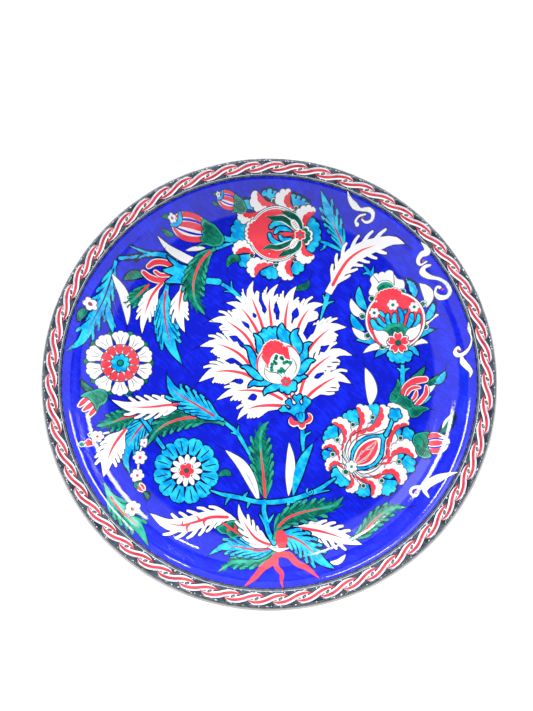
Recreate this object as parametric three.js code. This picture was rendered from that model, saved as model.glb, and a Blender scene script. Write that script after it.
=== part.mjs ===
// Hand painted ceramic plate: a thrown clay body on a turned foot ring, and the coats that are
// fired onto it, each a solid of its own. They are a white slip, the underglaze painting of the
// well and of the rim border, a clear glaze that wraps the lip, and the glaze inside the foot ring.
// Millimetres, +Z up. The origin is the centre of the foot ring's underside.

import * as THREE from 'three';

// Driving dimensions of the finished plate
const plateDiameter = 300; // over the glazed lip
const plateHeight = 40; // foot ring's underside to the top of the lip
const wellDiameter = 200; // flat floor of the dish
const wellHeight = 15; // dish floor above the foot ring's underside
const wallThickness = 5.5; // wall and rim, coats included; the lip is a full round on it
const floorThickness = 7; // dish floor to the ceiling of the hollow in the foot
const borderWidth = 11.5; // painted border on the rim
const lipMargin = 2; // plain white edge outside the border
const rimSlope = THREE.MathUtils.degToRad(15); // the rim rises outwards
const footDiameter = 172; // outside, where it stands
const footWidth = 8; // clay land that it stands on
const footTaper = 1.5; // each side of the ring leans by this much over its height

// Curve of the wall between the dish floor and the rim
const wallFullness = 0.74; // length of the lower handle, as a share of the wall's width
const shoulderSoftness = 8; // length of the upper handle, under the rim

// Coats, from the outside in
const glazeThickness = 0.4;
const paintThickness = 0.2;
const slipThickness = 0.4;
const coatGap = 0.1; // left between one coat and the next
const glazeLine = 2.5; // the coats stop this far above the foot ring's underside
const borderGap = 0.3; // between the painting of the well and that of the border

// Fineness of the round surfaces
const turnSteps = 48; // around the axis
const wallSteps = 6; // up the wall's curve

const plateRadius = plateDiameter / 2;
const wellRadius = wellDiameter / 2;
const footRadius = footDiameter / 2;
const lipRadius = wallThickness / 2;
const borderOuterRadius = plateRadius - lipMargin;
const borderInnerRadius = borderOuterRadius - borderWidth;

const paintDepth = glazeThickness + coatGap;
const slipDepth = paintDepth + paintThickness + coatGap;
const clayDepth = slipDepth + slipThickness + coatGap;
const footClayDepth = glazeThickness + coatGap; // no slip inside the foot ring

// Profiles are lists of (radius, height) that run from the face's centre, over the lip, to the foot.

// Half circle of the lip, from where the rim's face meets it to where the rim's back does
function lipProfile() {
  const centre = new THREE.Vector2(plateRadius - lipRadius, plateHeight - lipRadius);
  const quarter = Math.PI / 2;
  const angles = [quarter + rimSlope, quarter, quarter / 2, 0, -quarter / 2, rimSlope - quarter];
  return angles.map((angle) =>
    new THREE.Vector2(Math.cos(angle), Math.sin(angle)).multiplyScalar(lipRadius).add(centre)
  );
}

// The dish's face: flat floor, wall that curves up, and sloping rim
function faceProfile() {
  const rimOuter = lipProfile()[0];
  const rimInner = new THREE.Vector2(
    borderInnerRadius,
    rimOuter.y - (rimOuter.x - borderInnerRadius) * Math.tan(rimSlope)
  );
  const wellEdge = new THREE.Vector2(wellRadius, wellHeight);
  const lowerHandle = new THREE.Vector2(wellRadius + wallFullness * (borderInnerRadius - wellRadius), wellHeight);
  const upperHandle = new THREE.Vector2(-Math.cos(rimSlope), -Math.sin(rimSlope))
    .multiplyScalar(shoulderSoftness)
    .add(rimInner);
  const wall = new THREE.CubicBezierCurve(wellEdge, lowerHandle, upperHandle, rimInner);
  return [new THREE.Vector2(0, wellHeight), ...wall.getPoints(wallSteps)];
}

// The profile moved towards its right-hand side, which is into the clay, by depth
function inset(profile, depth) {
  const sideOf = (from, to) => new THREE.Vector2(to.y - from.y, from.x - to.x).normalize();
  return profile.map((point, index) => {
    const last = profile.length - 1;
    const before = index > 0 ? sideOf(profile[index - 1], point) : sideOf(point, profile[1]);
    const after = index < last ? sideOf(point, profile[index + 1]) : before;
    const mitre = before.clone().add(after).normalize();
    return point.clone().addScaledVector(mitre, depth / mitre.dot(after));
  });
}

// Height of a profile where it crosses a radius
function heightAt(profile, radius) {
  for (let index = 1; index < profile.length; index++) {
    const [from, to] = [profile[index - 1], profile[index]];
    if ((from.x - radius) * (to.x - radius) <= 0 && from.x !== to.x) {
      return from.y + ((to.y - from.y) * (radius - from.x)) / (to.x - from.x);
    }
  }
  throw new Error(`the profile doesn't cross a radius of ${radius}`);
}

// Back of the rim and wall, down to the outside of the foot ring and along it to the given height
function backProfile(endHeight) {
  const back = inset(faceProfile(), wallThickness).reverse();
  const rootRadius = footRadius + footTaper;
  const root = new THREE.Vector2(rootRadius, heightAt(back, rootRadius));
  const foot = new THREE.Vector2(footRadius, 0);
  const wall = back.filter((point) => point.x > rootRadius + wallThickness);
  return [...wall, root, root.clone().lerp(foot, 1 - endHeight / root.y)];
}

// Hollow in the foot ring: from the given height up its inside, and across to the axis
function hollowProfile(startHeight) {
  const ceiling = wellHeight - floorThickness;
  const foot = new THREE.Vector2(footRadius - footWidth, 0);
  const corner = new THREE.Vector2(foot.x - footTaper, ceiling);
  return [foot.lerp(corner, startHeight / ceiling), corner, new THREE.Vector2(0, ceiling)];
}

// Everything outside the foot ring, from the face's centre to the given height on the foot
function outerProfile(endHeight) {
  return [...faceProfile(), ...lipProfile(), ...backProfile(endHeight)];
}

// Part of a profile between two radii
function between(profile, innerRadius, outerRadius) {
  const inside = profile.filter((point) => point.x > innerRadius && point.x < outerRadius);
  const edge = (radius) => new THREE.Vector2(radius, heightAt(profile, radius));
  return [edge(innerRadius), ...inside, edge(outerRadius)];
}

// The closed section of a coat: its outer surface out, and its inner surface back
function coatSection(profile, depth, thickness) {
  const outer = inset(profile, depth);
  const inner = inset(profile, depth + thickness).reverse();
  const section = [...outer, ...inner];
  const startsOnAxis = profile[0].x === 0;
  const endsOnAxis = profile[profile.length - 1].x === 0;
  if (endsOnAxis) return [...inner, ...outer];
  return startsOnAxis ? section : [...section, outer[0].clone()];
}

function turned(name, section, material) {
  const onAxis = section.map((point) => new THREE.Vector2(Math.max(point.x, 0), point.y));
  const geometry = new THREE.LatheGeometry(onAxis.reverse(), turnSteps);
  geometry.rotateX(Math.PI / 2);
  const mesh = new THREE.Mesh(geometry, material);
  mesh.name = name;
  return mesh;
}

// Biscuit-fired clay, thrown in one piece with its foot ring, which stands bare below the coats
function clayBody() {
  const outside = inset(outerProfile(0), clayDepth);
  const hollow = inset(hollowProfile(0), footClayDepth);
  outside[outside.length - 1].y = 0;
  hollow[0].y = 0;
  const clay = new THREE.MeshStandardMaterial({ color: '#e9e0cf', roughness: 0.8, metalness: 0 });
  return turned('clay_body', [...outside, ...hollow], clay);
}

// Fine white slip under the painting, dipped, so it wraps the lip and coats the back too
function whiteSlip() {
  const slip = new THREE.MeshStandardMaterial({ color: '#f4f4f0', roughness: 0.6, metalness: 0 });
  return turned('white_slip', coatSection(outerProfile(glazeLine), slipDepth, slipThickness), slip);
}

// Cobalt ground of the dish, with the flowers and leaves that are reserved and painted in it
function wellPainting() {
  const floorAndWall = faceProfile();
  const rimEdge = floorAndWall[floorAndWall.length - 1];
  const cut = between(floorAndWall, wellRadius, rimEdge.x - borderGap);
  const cobalt = new THREE.MeshStandardMaterial({ color: '#1c1fd2', roughness: 0.3, metalness: 0 });
  return turned('well_painting', coatSection([floorAndWall[0], ...cut], paintDepth, paintThickness), cobalt);
}

// Dark band on the rim with its two-strand braid
function borderPainting() {
  const rim = [faceProfile().pop(), lipProfile()[0]];
  const dark = new THREE.MeshStandardMaterial({ color: '#2c3350', roughness: 0.3, metalness: 0 });
  return turned('border_painting', coatSection(rim, paintDepth, paintThickness), dark);
}

// Clear glossy glaze over the painting, in one dip from the dish floor to the foot ring
function clearGlaze() {
  const glaze = new THREE.MeshStandardMaterial({ color: '#f2f5fb', roughness: 0.05, metalness: 0 });
  return turned('clear_glaze', coatSection(outerProfile(glazeLine), 0, glazeThickness), glaze);
}

// Glaze poured into the hollow of the foot ring
function footGlaze() {
  const glaze = new THREE.MeshStandardMaterial({ color: '#f0f1ee', roughness: 0.08, metalness: 0 });
  return turned('foot_glaze', coatSection(hollowProfile(glazeLine), 0, glazeThickness), glaze);
}

const plate = new THREE.Group();
plate.add(clayBody(), whiteSlip(), wellPainting(), borderPainting(), clearGlaze(), footGlaze());

export default plate;
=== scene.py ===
import math

import bpy
import numpy as np
from mathutils import Matrix, Vector
from mathutils.geometry import delaunay_2d_cdt


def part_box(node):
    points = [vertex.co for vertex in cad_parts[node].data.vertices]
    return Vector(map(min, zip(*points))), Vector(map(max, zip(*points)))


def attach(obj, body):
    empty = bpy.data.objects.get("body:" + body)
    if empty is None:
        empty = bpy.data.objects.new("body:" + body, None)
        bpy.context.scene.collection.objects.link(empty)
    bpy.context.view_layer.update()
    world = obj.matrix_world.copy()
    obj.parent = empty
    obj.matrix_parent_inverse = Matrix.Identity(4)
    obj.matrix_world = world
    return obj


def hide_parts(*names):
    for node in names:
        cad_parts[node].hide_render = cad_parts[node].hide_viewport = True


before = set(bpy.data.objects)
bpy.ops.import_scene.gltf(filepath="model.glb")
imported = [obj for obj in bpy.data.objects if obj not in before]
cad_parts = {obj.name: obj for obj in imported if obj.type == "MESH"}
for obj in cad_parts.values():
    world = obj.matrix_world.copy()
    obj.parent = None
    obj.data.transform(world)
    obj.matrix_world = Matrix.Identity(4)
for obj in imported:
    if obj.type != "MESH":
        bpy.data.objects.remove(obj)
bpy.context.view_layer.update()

# ----------------------------------------
# Glazed dish. Thrown buff clay with a flat well, a wall that curves up and a sloping rim with
# a fully rounded lip, dipped in white slip and clear glaze. All plan sizes here and below are
# plate millimetres: x to the right of the painting, y to its top, from the plate's axis.
# ----------------------------------------
MM = 0.001
lip_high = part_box("clear_glaze")[1]
plate_radius = lip_high[0] / MM
plate_height = lip_high[2] / MM
well_radius = 100.0
well_height = 15.0
wall_thickness = 5.5
floor_thickness = 7.0
lip_margin = 2.0
border_width = 11.5
rim_slope = math.radians(15)
foot_radius = 86.0
foot_width = 8.0
foot_taper = 1.5
wall_fullness = 0.74
shoulder_softness = 8.0
glaze_line = 2.5
coat_thickness = 1.2
foot_round = 0.8

lip_radius = wall_thickness / 2
border_outer = plate_radius - lip_margin
border_inner = border_outer - border_width


def arc(centre, radius, start, end, steps):
    angles = np.linspace(start, end, steps + 1)
    return np.stack([centre[0] + radius * np.cos(angles), centre[1] + radius * np.sin(angles)], 1)


def lip_profile():
    centre = (plate_radius - lip_radius, plate_height - lip_radius)
    quarter = math.pi / 2
    rounds = [quarter + rim_slope, quarter, 0, -quarter, rim_slope - quarter]
    arcs = [arc(centre, lip_radius, rounds[0], rounds[1], 3), arc(centre, lip_radius, rounds[1], 0, 12)[1:]]
    arcs += [arc(centre, lip_radius, 0, rounds[4], 10)[1:]]
    return np.vstack(arcs)


def face_profile(steps):
    rim_outer = lip_profile()[0]
    rim_inner = np.array([border_inner, rim_outer[1] - (rim_outer[0] - border_inner) * math.tan(rim_slope)])
    well_edge = np.array([well_radius, well_height])
    lower = well_edge + [wall_fullness * (border_inner - well_radius), 0]
    upper = rim_inner - shoulder_softness * np.array([math.cos(rim_slope), math.sin(rim_slope)])
    t = np.linspace(0, 1, steps + 1)[:, None]
    wall = (1 - t) ** 3 * well_edge + 3 * (1 - t) ** 2 * t * lower + 3 * (1
        - t) * t**2 * upper + t**3 * rim_inner
    flat = np.stack([np.linspace(0, well_radius, 24, endpoint=False), np.full(24, well_height)], 1)
    rim = rim_inner + (rim_outer - rim_inner) * np.linspace(0, 1, 9)[1:-1, None]
    return np.vstack([flat, wall, rim])


def inset(profile, depth):
    """The profile moved into the clay, which lies on its right-hand side."""
    step = np.diff(profile, axis=0)
    side = np.stack([step[:, 1], -step[:, 0]], 1) / np.linalg.norm(step, axis=1)[:, None]
    before, after = np.vstack([side[:1], side]), np.vstack([side, side[-1:]])
    mitre = before + after
    mitre /= np.linalg.norm(mitre, axis=1)[:, None]
    return profile + mitre * (depth / (mitre * after).sum(1))[:, None]


def back_profile(end_height):
    back = inset(face_profile(30), wall_thickness)[::-1]
    root_radius = foot_radius + foot_taper
    root = np.array([root_radius, well_height - wall_thickness])
    fillet = arc(root + [wall_thickness * 0.6, -wall_thickness * 0.6], wall_thickness * 0.6, math.pi / 2,
        math.pi, 8)
    foot = np.array([foot_radius, 0.0])
    end = root + (foot - root) * (1 - end_height / root[1])
    return np.vstack([back[back[:, 0] > root_radius + wall_thickness], fillet, end])


def hollow_profile(start_height):
    ceiling = well_height - floor_thickness
    low = np.array([foot_radius - foot_width, 0.0])
    corner = np.array([low[0] - foot_taper, ceiling])
    start = low + (corner - low) * start_height / ceiling
    turn = 2.5
    rounded = arc(corner + [-turn, -turn], turn, 0, math.pi / 2, 8)
    return np.vstack([start, rounded, [[0.0, ceiling]]])


def turned(name, section, material, steps=288):
    """A closed section of (radius, height) turned around the plate's axis."""
    section = np.array(section)
    section[:, 0] = np.maximum(section[:, 0], 0)
    angles = np.linspace(0, 2 * math.pi, steps, endpoint=False)
    points, rings = [], []
    for radius, height in section:
        if radius < 1e-6:
            rings.append([len(points)] * steps)
            points.append((0, 0, height * MM))
        else:
            rings.append(range(len(points), len(points) + steps))
            points += [(radius * MM * math.cos(a), radius * MM * math.sin(a), height * MM) for a in angles]
    closed = section[0][0] > 1e-6
    pairs = zip(rings, rings[1:] + rings[:1]) if closed else zip(rings, rings[1:])
    faces = []
    for inner, outer in pairs:
        for i in range(steps):
            j = (i + 1) % steps
            corners = [inner[i], outer[i], outer[j], inner[j]]
            face = [c for k, c in enumerate(corners) if c not in corners[:k]]
            if len(face) > 2:
                faces.append(face)
    mesh = bpy.data.meshes.new(name)
    mesh.from_pydata(points, [], faces)
    mesh.polygons.foreach_set("use_smooth", [True] * len(mesh.polygons))
    mesh.materials.append(material)
    piece = bpy.data.objects.new(name, mesh)
    bpy.context.scene.collection.objects.link(piece)
    return piece


def node_tree(name):
    """A new material, its nodes, a link maker and its Principled BSDF."""
    material = bpy.data.materials.new(name)
    material.use_nodes = True
    nodes = material.node_tree.nodes
    return material, nodes, material.node_tree.links.new, nodes["Principled BSDF"]


def group_tree(name, inputs, outputs):
    """A shader node group with its named sockets, its nodes, a link maker and its two ends."""
    tree = bpy.data.node_groups.new(name, "ShaderNodeTree")
    for socket, kind, value in inputs:
        made = tree.interface.new_socket(socket, in_out="INPUT", socket_type=kind)
        made.default_value = value
    for socket, kind in outputs:
        tree.interface.new_socket(socket, in_out="OUTPUT", socket_type=kind)
    given, result = tree.nodes.new("NodeGroupInput"), tree.nodes.new("NodeGroupOutput")
    return tree, tree.nodes, tree.links.new, given, result


def math_node(nodes, link, operation, *values):
    node = nodes.new("ShaderNodeMath")
    node.operation = operation
    for socket, value in zip(node.inputs, values):
        if isinstance(value, (int, float)):
            socket.default_value = value
        else:
            link(value, socket)
    return node.outputs[0]


def stretched_noise(nodes, link, place, turn, squeeze, scale, detail=2.0, roughness=0.5):
    """Noise drawn out like brush strokes: squeezed along one direction, at a turn in plan."""
    rotate = nodes.new("ShaderNodeMapping")
    rotate.inputs["Rotation"].default_value = (0, 0, turn)
    link(place, rotate.inputs["Vector"])
    squash = nodes.new("ShaderNodeMapping")
    squash.inputs["Scale"].default_value = squeeze
    link(rotate.outputs["Vector"], squash.inputs["Vector"])
    noise = nodes.new("ShaderNodeTexNoise")
    noise.inputs["Scale"].default_value = scale
    noise.inputs["Detail"].default_value = detail
    noise.inputs["Roughness"].default_value = roughness
    link(squash.outputs["Vector"], noise.inputs["Vector"])
    return noise.outputs["Fac"]


# Clear glaze, seen on everything but the foot ring: it lies in slow swells and keeps faint
# ridges of the brush strokes under it. The group gives its surface height.
tree, nodes, link, given, result = group_tree(
    "glaze_swell",
    [("Swell", "NodeSocketFloat", 1.0), ("Brush", "NodeSocketFloat", 1.0)],
    [("Height", "NodeSocketFloat")],
)
place = nodes.new("ShaderNodeTexCoord").outputs["Object"]
swell = stretched_noise(nodes, link, place, 0.4, (1, 1, 1), 38, 1.0)
ridge = stretched_noise(nodes, link, place, 0.75, (1, 6, 1), 70, 2.0)
hair = stretched_noise(nodes, link, place, 0.75, (1, 9, 1), 260, 1.0)
slow = math_node(nodes, link, "MULTIPLY", swell, given.outputs["Swell"])
fine = math_node(nodes, link, "MULTIPLY_ADD", hair, 0.22, ridge)
fine = math_node(nodes, link, "MULTIPLY", fine, given.outputs["Brush"])
link(math_node(nodes, link, "MULTIPLY_ADD", fine, 0.2, slow), result.inputs["Height"])
glaze_swell = tree


def glaze(nodes, link, shader, swell=1.0, brush=1.0, roughness=0.03):
    """Clear glossy glaze over a painted or white surface."""
    shader.inputs["Roughness"].default_value = 0.55
    shader.inputs["Coat Weight"].default_value = 1.0
    shader.inputs["Coat Roughness"].default_value = roughness
    shader.inputs["Coat IOR"].default_value = 1.52
    shader.inputs["Specular IOR Level"].default_value = 0.0
    height = nodes.new("ShaderNodeGroup")
    height.node_tree = glaze_swell
    height.inputs["Swell"].default_value = swell
    height.inputs["Brush"].default_value = brush
    bump = nodes.new("ShaderNodeBump")
    bump.inputs["Strength"].default_value = 1.0
    bump.inputs["Distance"].default_value = 0.00045
    link(height.outputs["Height"], bump.inputs["Height"])
    link(bump.outputs["Normal"], shader.inputs["Normal"])
    link(bump.outputs["Normal"], shader.inputs["Coat Normal"])


# A colour that pools: thin and light in one place, thick and dark in another.
tree, nodes, link, given, result = group_tree(
    "pooled_colour",
    [
        ("Thin", "NodeSocketColor", (1, 1, 1, 1)),
        ("Thick", "NodeSocketColor", (0.5, 0.5, 0.5, 1)),
        ("Size", "NodeSocketFloat", 200.0),
        ("Balance", "NodeSocketFloat", 0.5),
        ("Streaks", "NodeSocketFloat", 0.3),
    ],
    [("Color", "NodeSocketColor"), ("Thickness", "NodeSocketFloat")],
)
place = nodes.new("ShaderNodeTexCoord").outputs["Object"]
cloud = nodes.new("ShaderNodeTexNoise")
cloud.inputs["Detail"].default_value = 3.0
link(place, cloud.inputs["Vector"])
link(given.outputs["Size"], cloud.inputs["Scale"])
stroke = stretched_noise(nodes, link, place, 0.75, (1, 7, 1), 160, 2.0)
centred = math_node(nodes, link, "SUBTRACT", stroke, 0.5)
streak = math_node(nodes, link, "MULTIPLY", centred, given.outputs["Streaks"])
total = math_node(nodes, link, "ADD", cloud.outputs["Fac"], streak)
above = math_node(nodes, link, "SUBTRACT", total, given.outputs["Balance"])
steep = math_node(nodes, link, "MULTIPLY_ADD", above, 4.0, 0.5)
amount = nodes.new("ShaderNodeClamp")
link(steep, amount.inputs["Value"])
mix = nodes.new("ShaderNodeMix")
mix.data_type = "RGBA"
link(amount.outputs["Result"], mix.inputs["Factor"])
link(given.outputs["Thin"], mix.inputs[6])
link(given.outputs["Thick"], mix.inputs[7])
link(mix.outputs[2], result.inputs["Color"])
link(amount.outputs["Result"], result.inputs["Thickness"])
pooled_colour = tree


def pooled(name, thin, thick, size, balance=0.5, streaks=0.3, swell=1.0, brush=1.0):
    """An underglaze colour or glaze that pools, under the clear glaze."""
    material, nodes, link, shader = node_tree(name)
    group = nodes.new("ShaderNodeGroup")
    group.node_tree = pooled_colour
    group.inputs["Thin"].default_value = (*thin, 1)
    group.inputs["Thick"].default_value = (*thick, 1)
    group.inputs["Size"].default_value = size
    group.inputs["Balance"].default_value = balance
    group.inputs["Streaks"].default_value = streaks
    link(group.outputs["Color"], shader.inputs["Base Color"])
    glaze(nodes, link, shader, swell, brush)
    return material


# The dish's own slip and glaze on the lip, the back and inside the foot: an off-white kept far greyer than
# the painted white. That grey is painted shade, so these sides read darker against the bright floor.
shade_greyed_glaze = pooled("shade_greyed_glaze", (0.60, 0.595, 0.57), (0.50, 0.505, 0.495), 45, 0.55, 0.15)
bed_depth = 0.3  # the painting lies in this, so that the colours end level with the lip

face = face_profile(40)
lip = lip_profile()
painted = lip[(lip[:, 0] < border_outer + 0.8) & (lip[:, 1] > plate_height - lip_radius)]
bed = inset(np.vstack([face, painted]), bed_depth)
bed[0, 0] = 0
outside = np.vstack([bed, lip[len(painted) :], back_profile(glaze_line)])
glazed_dish = turned("glazed_dish", np.vstack([outside, inset(outside, coat_thickness)[::-1]]), shade_greyed_glaze)
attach(glazed_dish, "root")
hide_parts("clear_glaze", "white_slip")

# The glaze inside the foot ring, in the same greyed white, which is painted shade.
hollow = hollow_profile(glaze_line)
foot_glaze = turned("foot_glaze_coat", np.vstack([inset(hollow, coat_thickness)[::-1], hollow])[::-1],
    shade_greyed_glaze)
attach(foot_glaze, "root")
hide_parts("foot_glaze")

# ----------------------------------------
# Clay body with its foot ring. Buff fired clay, bare where the plate stands: the glaze was wiped
# off there before firing, and the turning tool left fine rings and open grit.
# ----------------------------------------
clay, nodes, link, shader = node_tree("bare_clay")
place = nodes.new("ShaderNodeTexCoord").outputs["Object"]
grit = nodes.new("ShaderNodeTexNoise")
grit.inputs["Scale"].default_value = 900
grit.inputs["Detail"].default_value = 4.0
link(place, grit.inputs["Vector"])
tint = nodes.new("ShaderNodeValToRGB")
tint.color_ramp.elements[0].position = 0.35
tint.color_ramp.elements[0].color = (0.42, 0.33, 0.24, 1)
tint.color_ramp.elements[1].position = 0.62
tint.color_ramp.elements[1].color = (0.74, 0.66, 0.54, 1)
link(grit.outputs["Fac"], tint.inputs["Fac"])
link(tint.outputs["Color"], shader.inputs["Base Color"])
shader.inputs["Roughness"].default_value = 0.85
bump = nodes.new("ShaderNodeBump")
bump.inputs["Strength"].default_value = 0.5
bump.inputs["Distance"].default_value = 0.0003
link(grit.outputs["Fac"], bump.inputs["Height"])
link(bump.outputs["Normal"], shader.inputs["Normal"])

clay_depth = coat_thickness + 0.05
clay_outside = inset(np.vstack([face, lip_profile(), back_profile(glaze_line)]), clay_depth)
clay_outside[0, 0] = 0
ring_outer = arc((foot_radius - foot_round, foot_round), foot_round, 0, -math.pi / 2, 6)
ring_inner = arc((foot_radius - foot_width + foot_round, foot_round), foot_round, -math.pi / 2, -math.pi, 6)
clay_hollow = inset(hollow_profile(glaze_line), clay_depth)
step_out = [[foot_radius - 0.25, glaze_line], [foot_radius - 0.1, glaze_line - 0.3]]
step_in = [[foot_radius - foot_width + 0.1, glaze_line - 0.3], [foot_radius - foot_width + 0.25, glaze_line]]
clay_body = turned(
    "clay_body_and_foot_ring",
    np.vstack([clay_outside, step_out, ring_outer, ring_inner, step_in, clay_hollow]),
    clay,
)
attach(clay_body, "root")
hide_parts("clay_body")

# ----------------------------------------
# Cobalt ground. Underglaze blue brushed over the white slip of the well and its wall, in
# crossing strokes that leave lighter and darker hatching.
# ----------------------------------------
layer = 0.02  # one brushed layer, thick enough to lie clear of the one under it
golden = 0.618034  # spreads shapes of one layer over small heights of their own
layer_share = 0.85  # how much of a layer they are spread over
sunk = bed_depth * 0.8  # how far under the face the ground lies
flat_margin = 2.0  # shapes that reach past the flat well, less this, are bent to the wall
face_radii = np.append(face[:, 0], painted[:, 0])
face_heights = np.append(face[:, 1], painted[:, 1])
face_slopes = np.gradient(face_heights, face_radii)


def laid(points, level):
    """Plan points laid on the dish's face, a number of layers up, in metres."""
    points = np.asarray(points, float)
    radius = np.hypot(points[:, 0], points[:, 1])
    height = np.interp(radius, face_radii, face_heights) - sunk + layer * level
    return np.column_stack([points, height]) * MM


def face_normals(points):
    points = np.asarray(points, float)
    radius = np.maximum(np.hypot(points[:, 0], points[:, 1]), 1e-6)
    slope = np.interp(radius, face_radii, face_slopes)
    normals = np.column_stack([-slope * points[:, 0] / radius, -slope * points[:, 1] / radius,
        np.ones(len(points))])
    return normals / np.linalg.norm(normals, axis=1)[:, None]


class Painting:
    """Brush shapes that lie in layers on the dish's face and make one piece."""

    def __init__(self, name):
        self.name = name
        self.count = 0
        self.points, self.heights, self.faces, self.inks, self.used = [], [], [], [], []

    def add(self, points, faces, ink, level):
        if ink not in self.used:
            self.used.append(ink)
        self.points.append(np.asarray(points, float))
        self.heights.append(laid(points, level + layer_share * ((len(self.points) * golden) % 1)))
        self.faces += [[corner + self.count for corner in face] for face in faces]
        self.inks += [self.used.index(ink)] * len(faces)
        self.count += len(points)

    def fill(self, outline, ink, level):
        """A closed outline filled with one ink."""
        outline = np.asarray(outline, float)
        curved = np.hypot(outline[:, 0], outline[:, 1]).max() > well_radius - flat_margin
        if curved:
            outline = divided(outline)
        corners = [Vector(point) for point in outline]
        if curved:
            corners += [Vector(point) for point in inner_points(outline)]
        made = delaunay_2d_cdt(corners, [], [list(range(len(outline)))], 1, 1e-4)
        self.add(np.array([point[:] for point in made[0]]), made[2], ink, level)

    def line(self, path, width, ink, level, closed=False, ends=0.0):
        """A brush line along a path; ends is how thin it runs out at each end, 0 for not."""
        path = np.asarray(path, float)
        if np.hypot(path[:, 0], path[:, 1]).max() > well_radius - flat_margin:
            path = divided(path, closed)
        along = np.gradient(path, axis=0)
        if closed:
            along = (np.roll(path, -1, 0) - np.roll(path, 1, 0)) / 2
        along /= np.maximum(np.linalg.norm(along, axis=1), 1e-9)[:, None]
        side = np.column_stack([-along[:, 1], along[:, 0]])
        reach = np.concatenate([[0], np.cumsum(np.linalg.norm(np.diff(path, axis=0), axis=1))])
        press = 1 + 0.14 * np.sin(0.9 * reach + path[0, 0]) + 0.08 * np.sin(2.1 * reach + path[0, 1])
        if ends:
            share = reach / max(reach[-1], 1e-6)
            press = press * (1 - ends + ends * np.sin(math.pi * share) ** 0.7)
        half = side * (width / 2 * press)[:, None]
        count = len(path)
        points = np.vstack([path + half, path - half])
        last = count if closed else count - 1
        faces = [(count + i, count + (i + 1) % count, (i + 1) % count, i) for i in range(last)]
        self.add(points, faces, ink, level)

    def shape(self, outline, ink, level, edge=1.0, edge_ink=None):
        """A filled outline with its drawn contour, of which the outer half shows."""
        if edge:
            self.line(outline, 2 * edge, edge_ink or navy, level, closed=True)
        self.fill(outline, ink, level + 1)

    def reserve(self, outline, level, edge=0.5):
        """A shape left white, with a thin slate contour."""
        self.shape(outline, white, level, edge, slate)

    def brush(self, path, widths, ink, level):
        """A brush stroke along a smoothed path, with a width at each of a few even stations."""
        self.fill(tapered(smooth(path), widths), ink, level)

    def done(self, slot="well_painting"):
        mesh = bpy.data.meshes.new(self.name)
        mesh.from_pydata(np.vstack(self.heights), [], self.faces)
        for ink in self.used:
            mesh.materials.append(ink)
        mesh.polygons.foreach_set("material_index", self.inks)
        mesh.polygons.foreach_set("use_smooth", [True] * len(self.faces))
        mesh.normals_split_custom_set_from_vertices(face_normals(np.vstack(self.points)))
        piece = bpy.data.objects.new(self.name, mesh)
        bpy.context.scene.collection.objects.link(piece)
        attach(piece, "root")
        return piece


def divided(path, closed=True, step=1.3):
    """A path with its long straight runs shared out, so they follow the curved wall."""
    pieces = []
    for start, end in zip(path, np.roll(path, -1, 0) if closed else path[1:]):
        count = max(1, math.ceil(np.linalg.norm(end - start) / step))
        pieces.append(start + (end - start) * np.linspace(0, 1, count, endpoint=False)[:, None])
    return np.vstack(pieces if closed else pieces + [path[-1:]])


def inner_points(outline, pitch=1.3, margin=0.35):
    """Points on a grid inside an outline, where it lies on the curved wall."""
    low, high = outline.min(0), outline.max(0)
    x, y = np.meshgrid(np.arange(low[0], high[0], pitch), np.arange(low[1], high[1], pitch))
    grid = np.column_stack([x.ravel(), y.ravel()])
    grid = grid[np.hypot(grid[:, 0], grid[:, 1]) > well_radius - flat_margin - 1]
    inside = np.zeros(len(grid), bool)
    near = np.full(len(grid), np.inf)
    for start, end in zip(outline, np.roll(outline, -1, 0)):
        crosses = (start[1] > grid[:, 1]) != (end[1] > grid[:, 1])
        rise = end[1] - start[1]
        at = start[0] + (grid[:, 1] - start[1]) * (end[0] - start[0]) / (rise if abs(rise) > 1e-12 else 1e-12)
        inside ^= crosses & (grid[:, 0] < at)
        run = end - start
        share = np.clip(((grid - start) @ run) / max(run @ run, 1e-12), 0, 1)
        near = np.minimum(near, np.linalg.norm(grid - start - share[:, None] * run, axis=1))
    return grid[inside & (near > margin)]


def ring_patch(inner, outer, radial_step=1.2, turns=360):
    """A ring, or with inner 0 a disc, in plan: its points and faces."""
    radii = np.linspace(inner, outer, max(2, int((outer - inner) / radial_step)) + 1)
    angles = np.linspace(0, 2 * math.pi, turns, endpoint=False)
    around = np.column_stack([np.cos(angles), np.sin(angles)])
    points = np.vstack([around * radius for radius in radii])
    faces = []
    for row in range(len(radii) - 1):
        for i in range(turns):
            j = (i + 1) % turns
            faces.append((row * turns + i, (row + 1) * turns + i, (row + 1) * turns + j, row * turns + j))
    return points, faces


cobalt = pooled("cobalt_ground", (0.010, 0.026, 0.88), (0.006, 0.014, 0.60), 110, balance=0.42, streaks=0.9,
    brush=0.7)
ground = Painting("cobalt_ground")
ground.add(*ring_patch(0.02, border_inner - 0.2), cobalt, 0)
ground_piece = ground.done()
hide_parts("well_painting")

# ----------------------------------------
# Painted border of the rim. A dark slate band between brushed lines, sprinkled with white dots,
# with a white two-strand braid that has a red line down each strand and a dark eye in each link.
# ----------------------------------------
navy = pooled("navy_outline", (0.010, 0.012, 0.10), (0.004, 0.005, 0.03), 260, 0.5, 0.4)
slate = pooled("slate_band", (0.075, 0.105, 0.135), (0.026, 0.038, 0.052), 170, 0.5, 0.8)
grey = pooled("grey_line", (0.16, 0.19, 0.25), (0.05, 0.06, 0.1), 300, 0.5, 0.4)
white = pooled("white_reserve", (0.97, 0.975, 0.98), (0.92, 0.935, 0.95), 60, 0.6, 0.1)
shade = pooled("shaded_white", (0.72, 0.77, 0.84), (0.5, 0.56, 0.64), 200, 0.5, 0.3)
crimson = pooled("crimson_line", (0.70, 0.075, 0.11), (0.50, 0.035, 0.06), 160, 0.55, 0.4)
links = 58
link_turn = 2 * math.pi / links
braid_radius = 142.8
braid_swing = 2.1
strand_width = 3.9
strand_turn = 1.66 * link_turn


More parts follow.
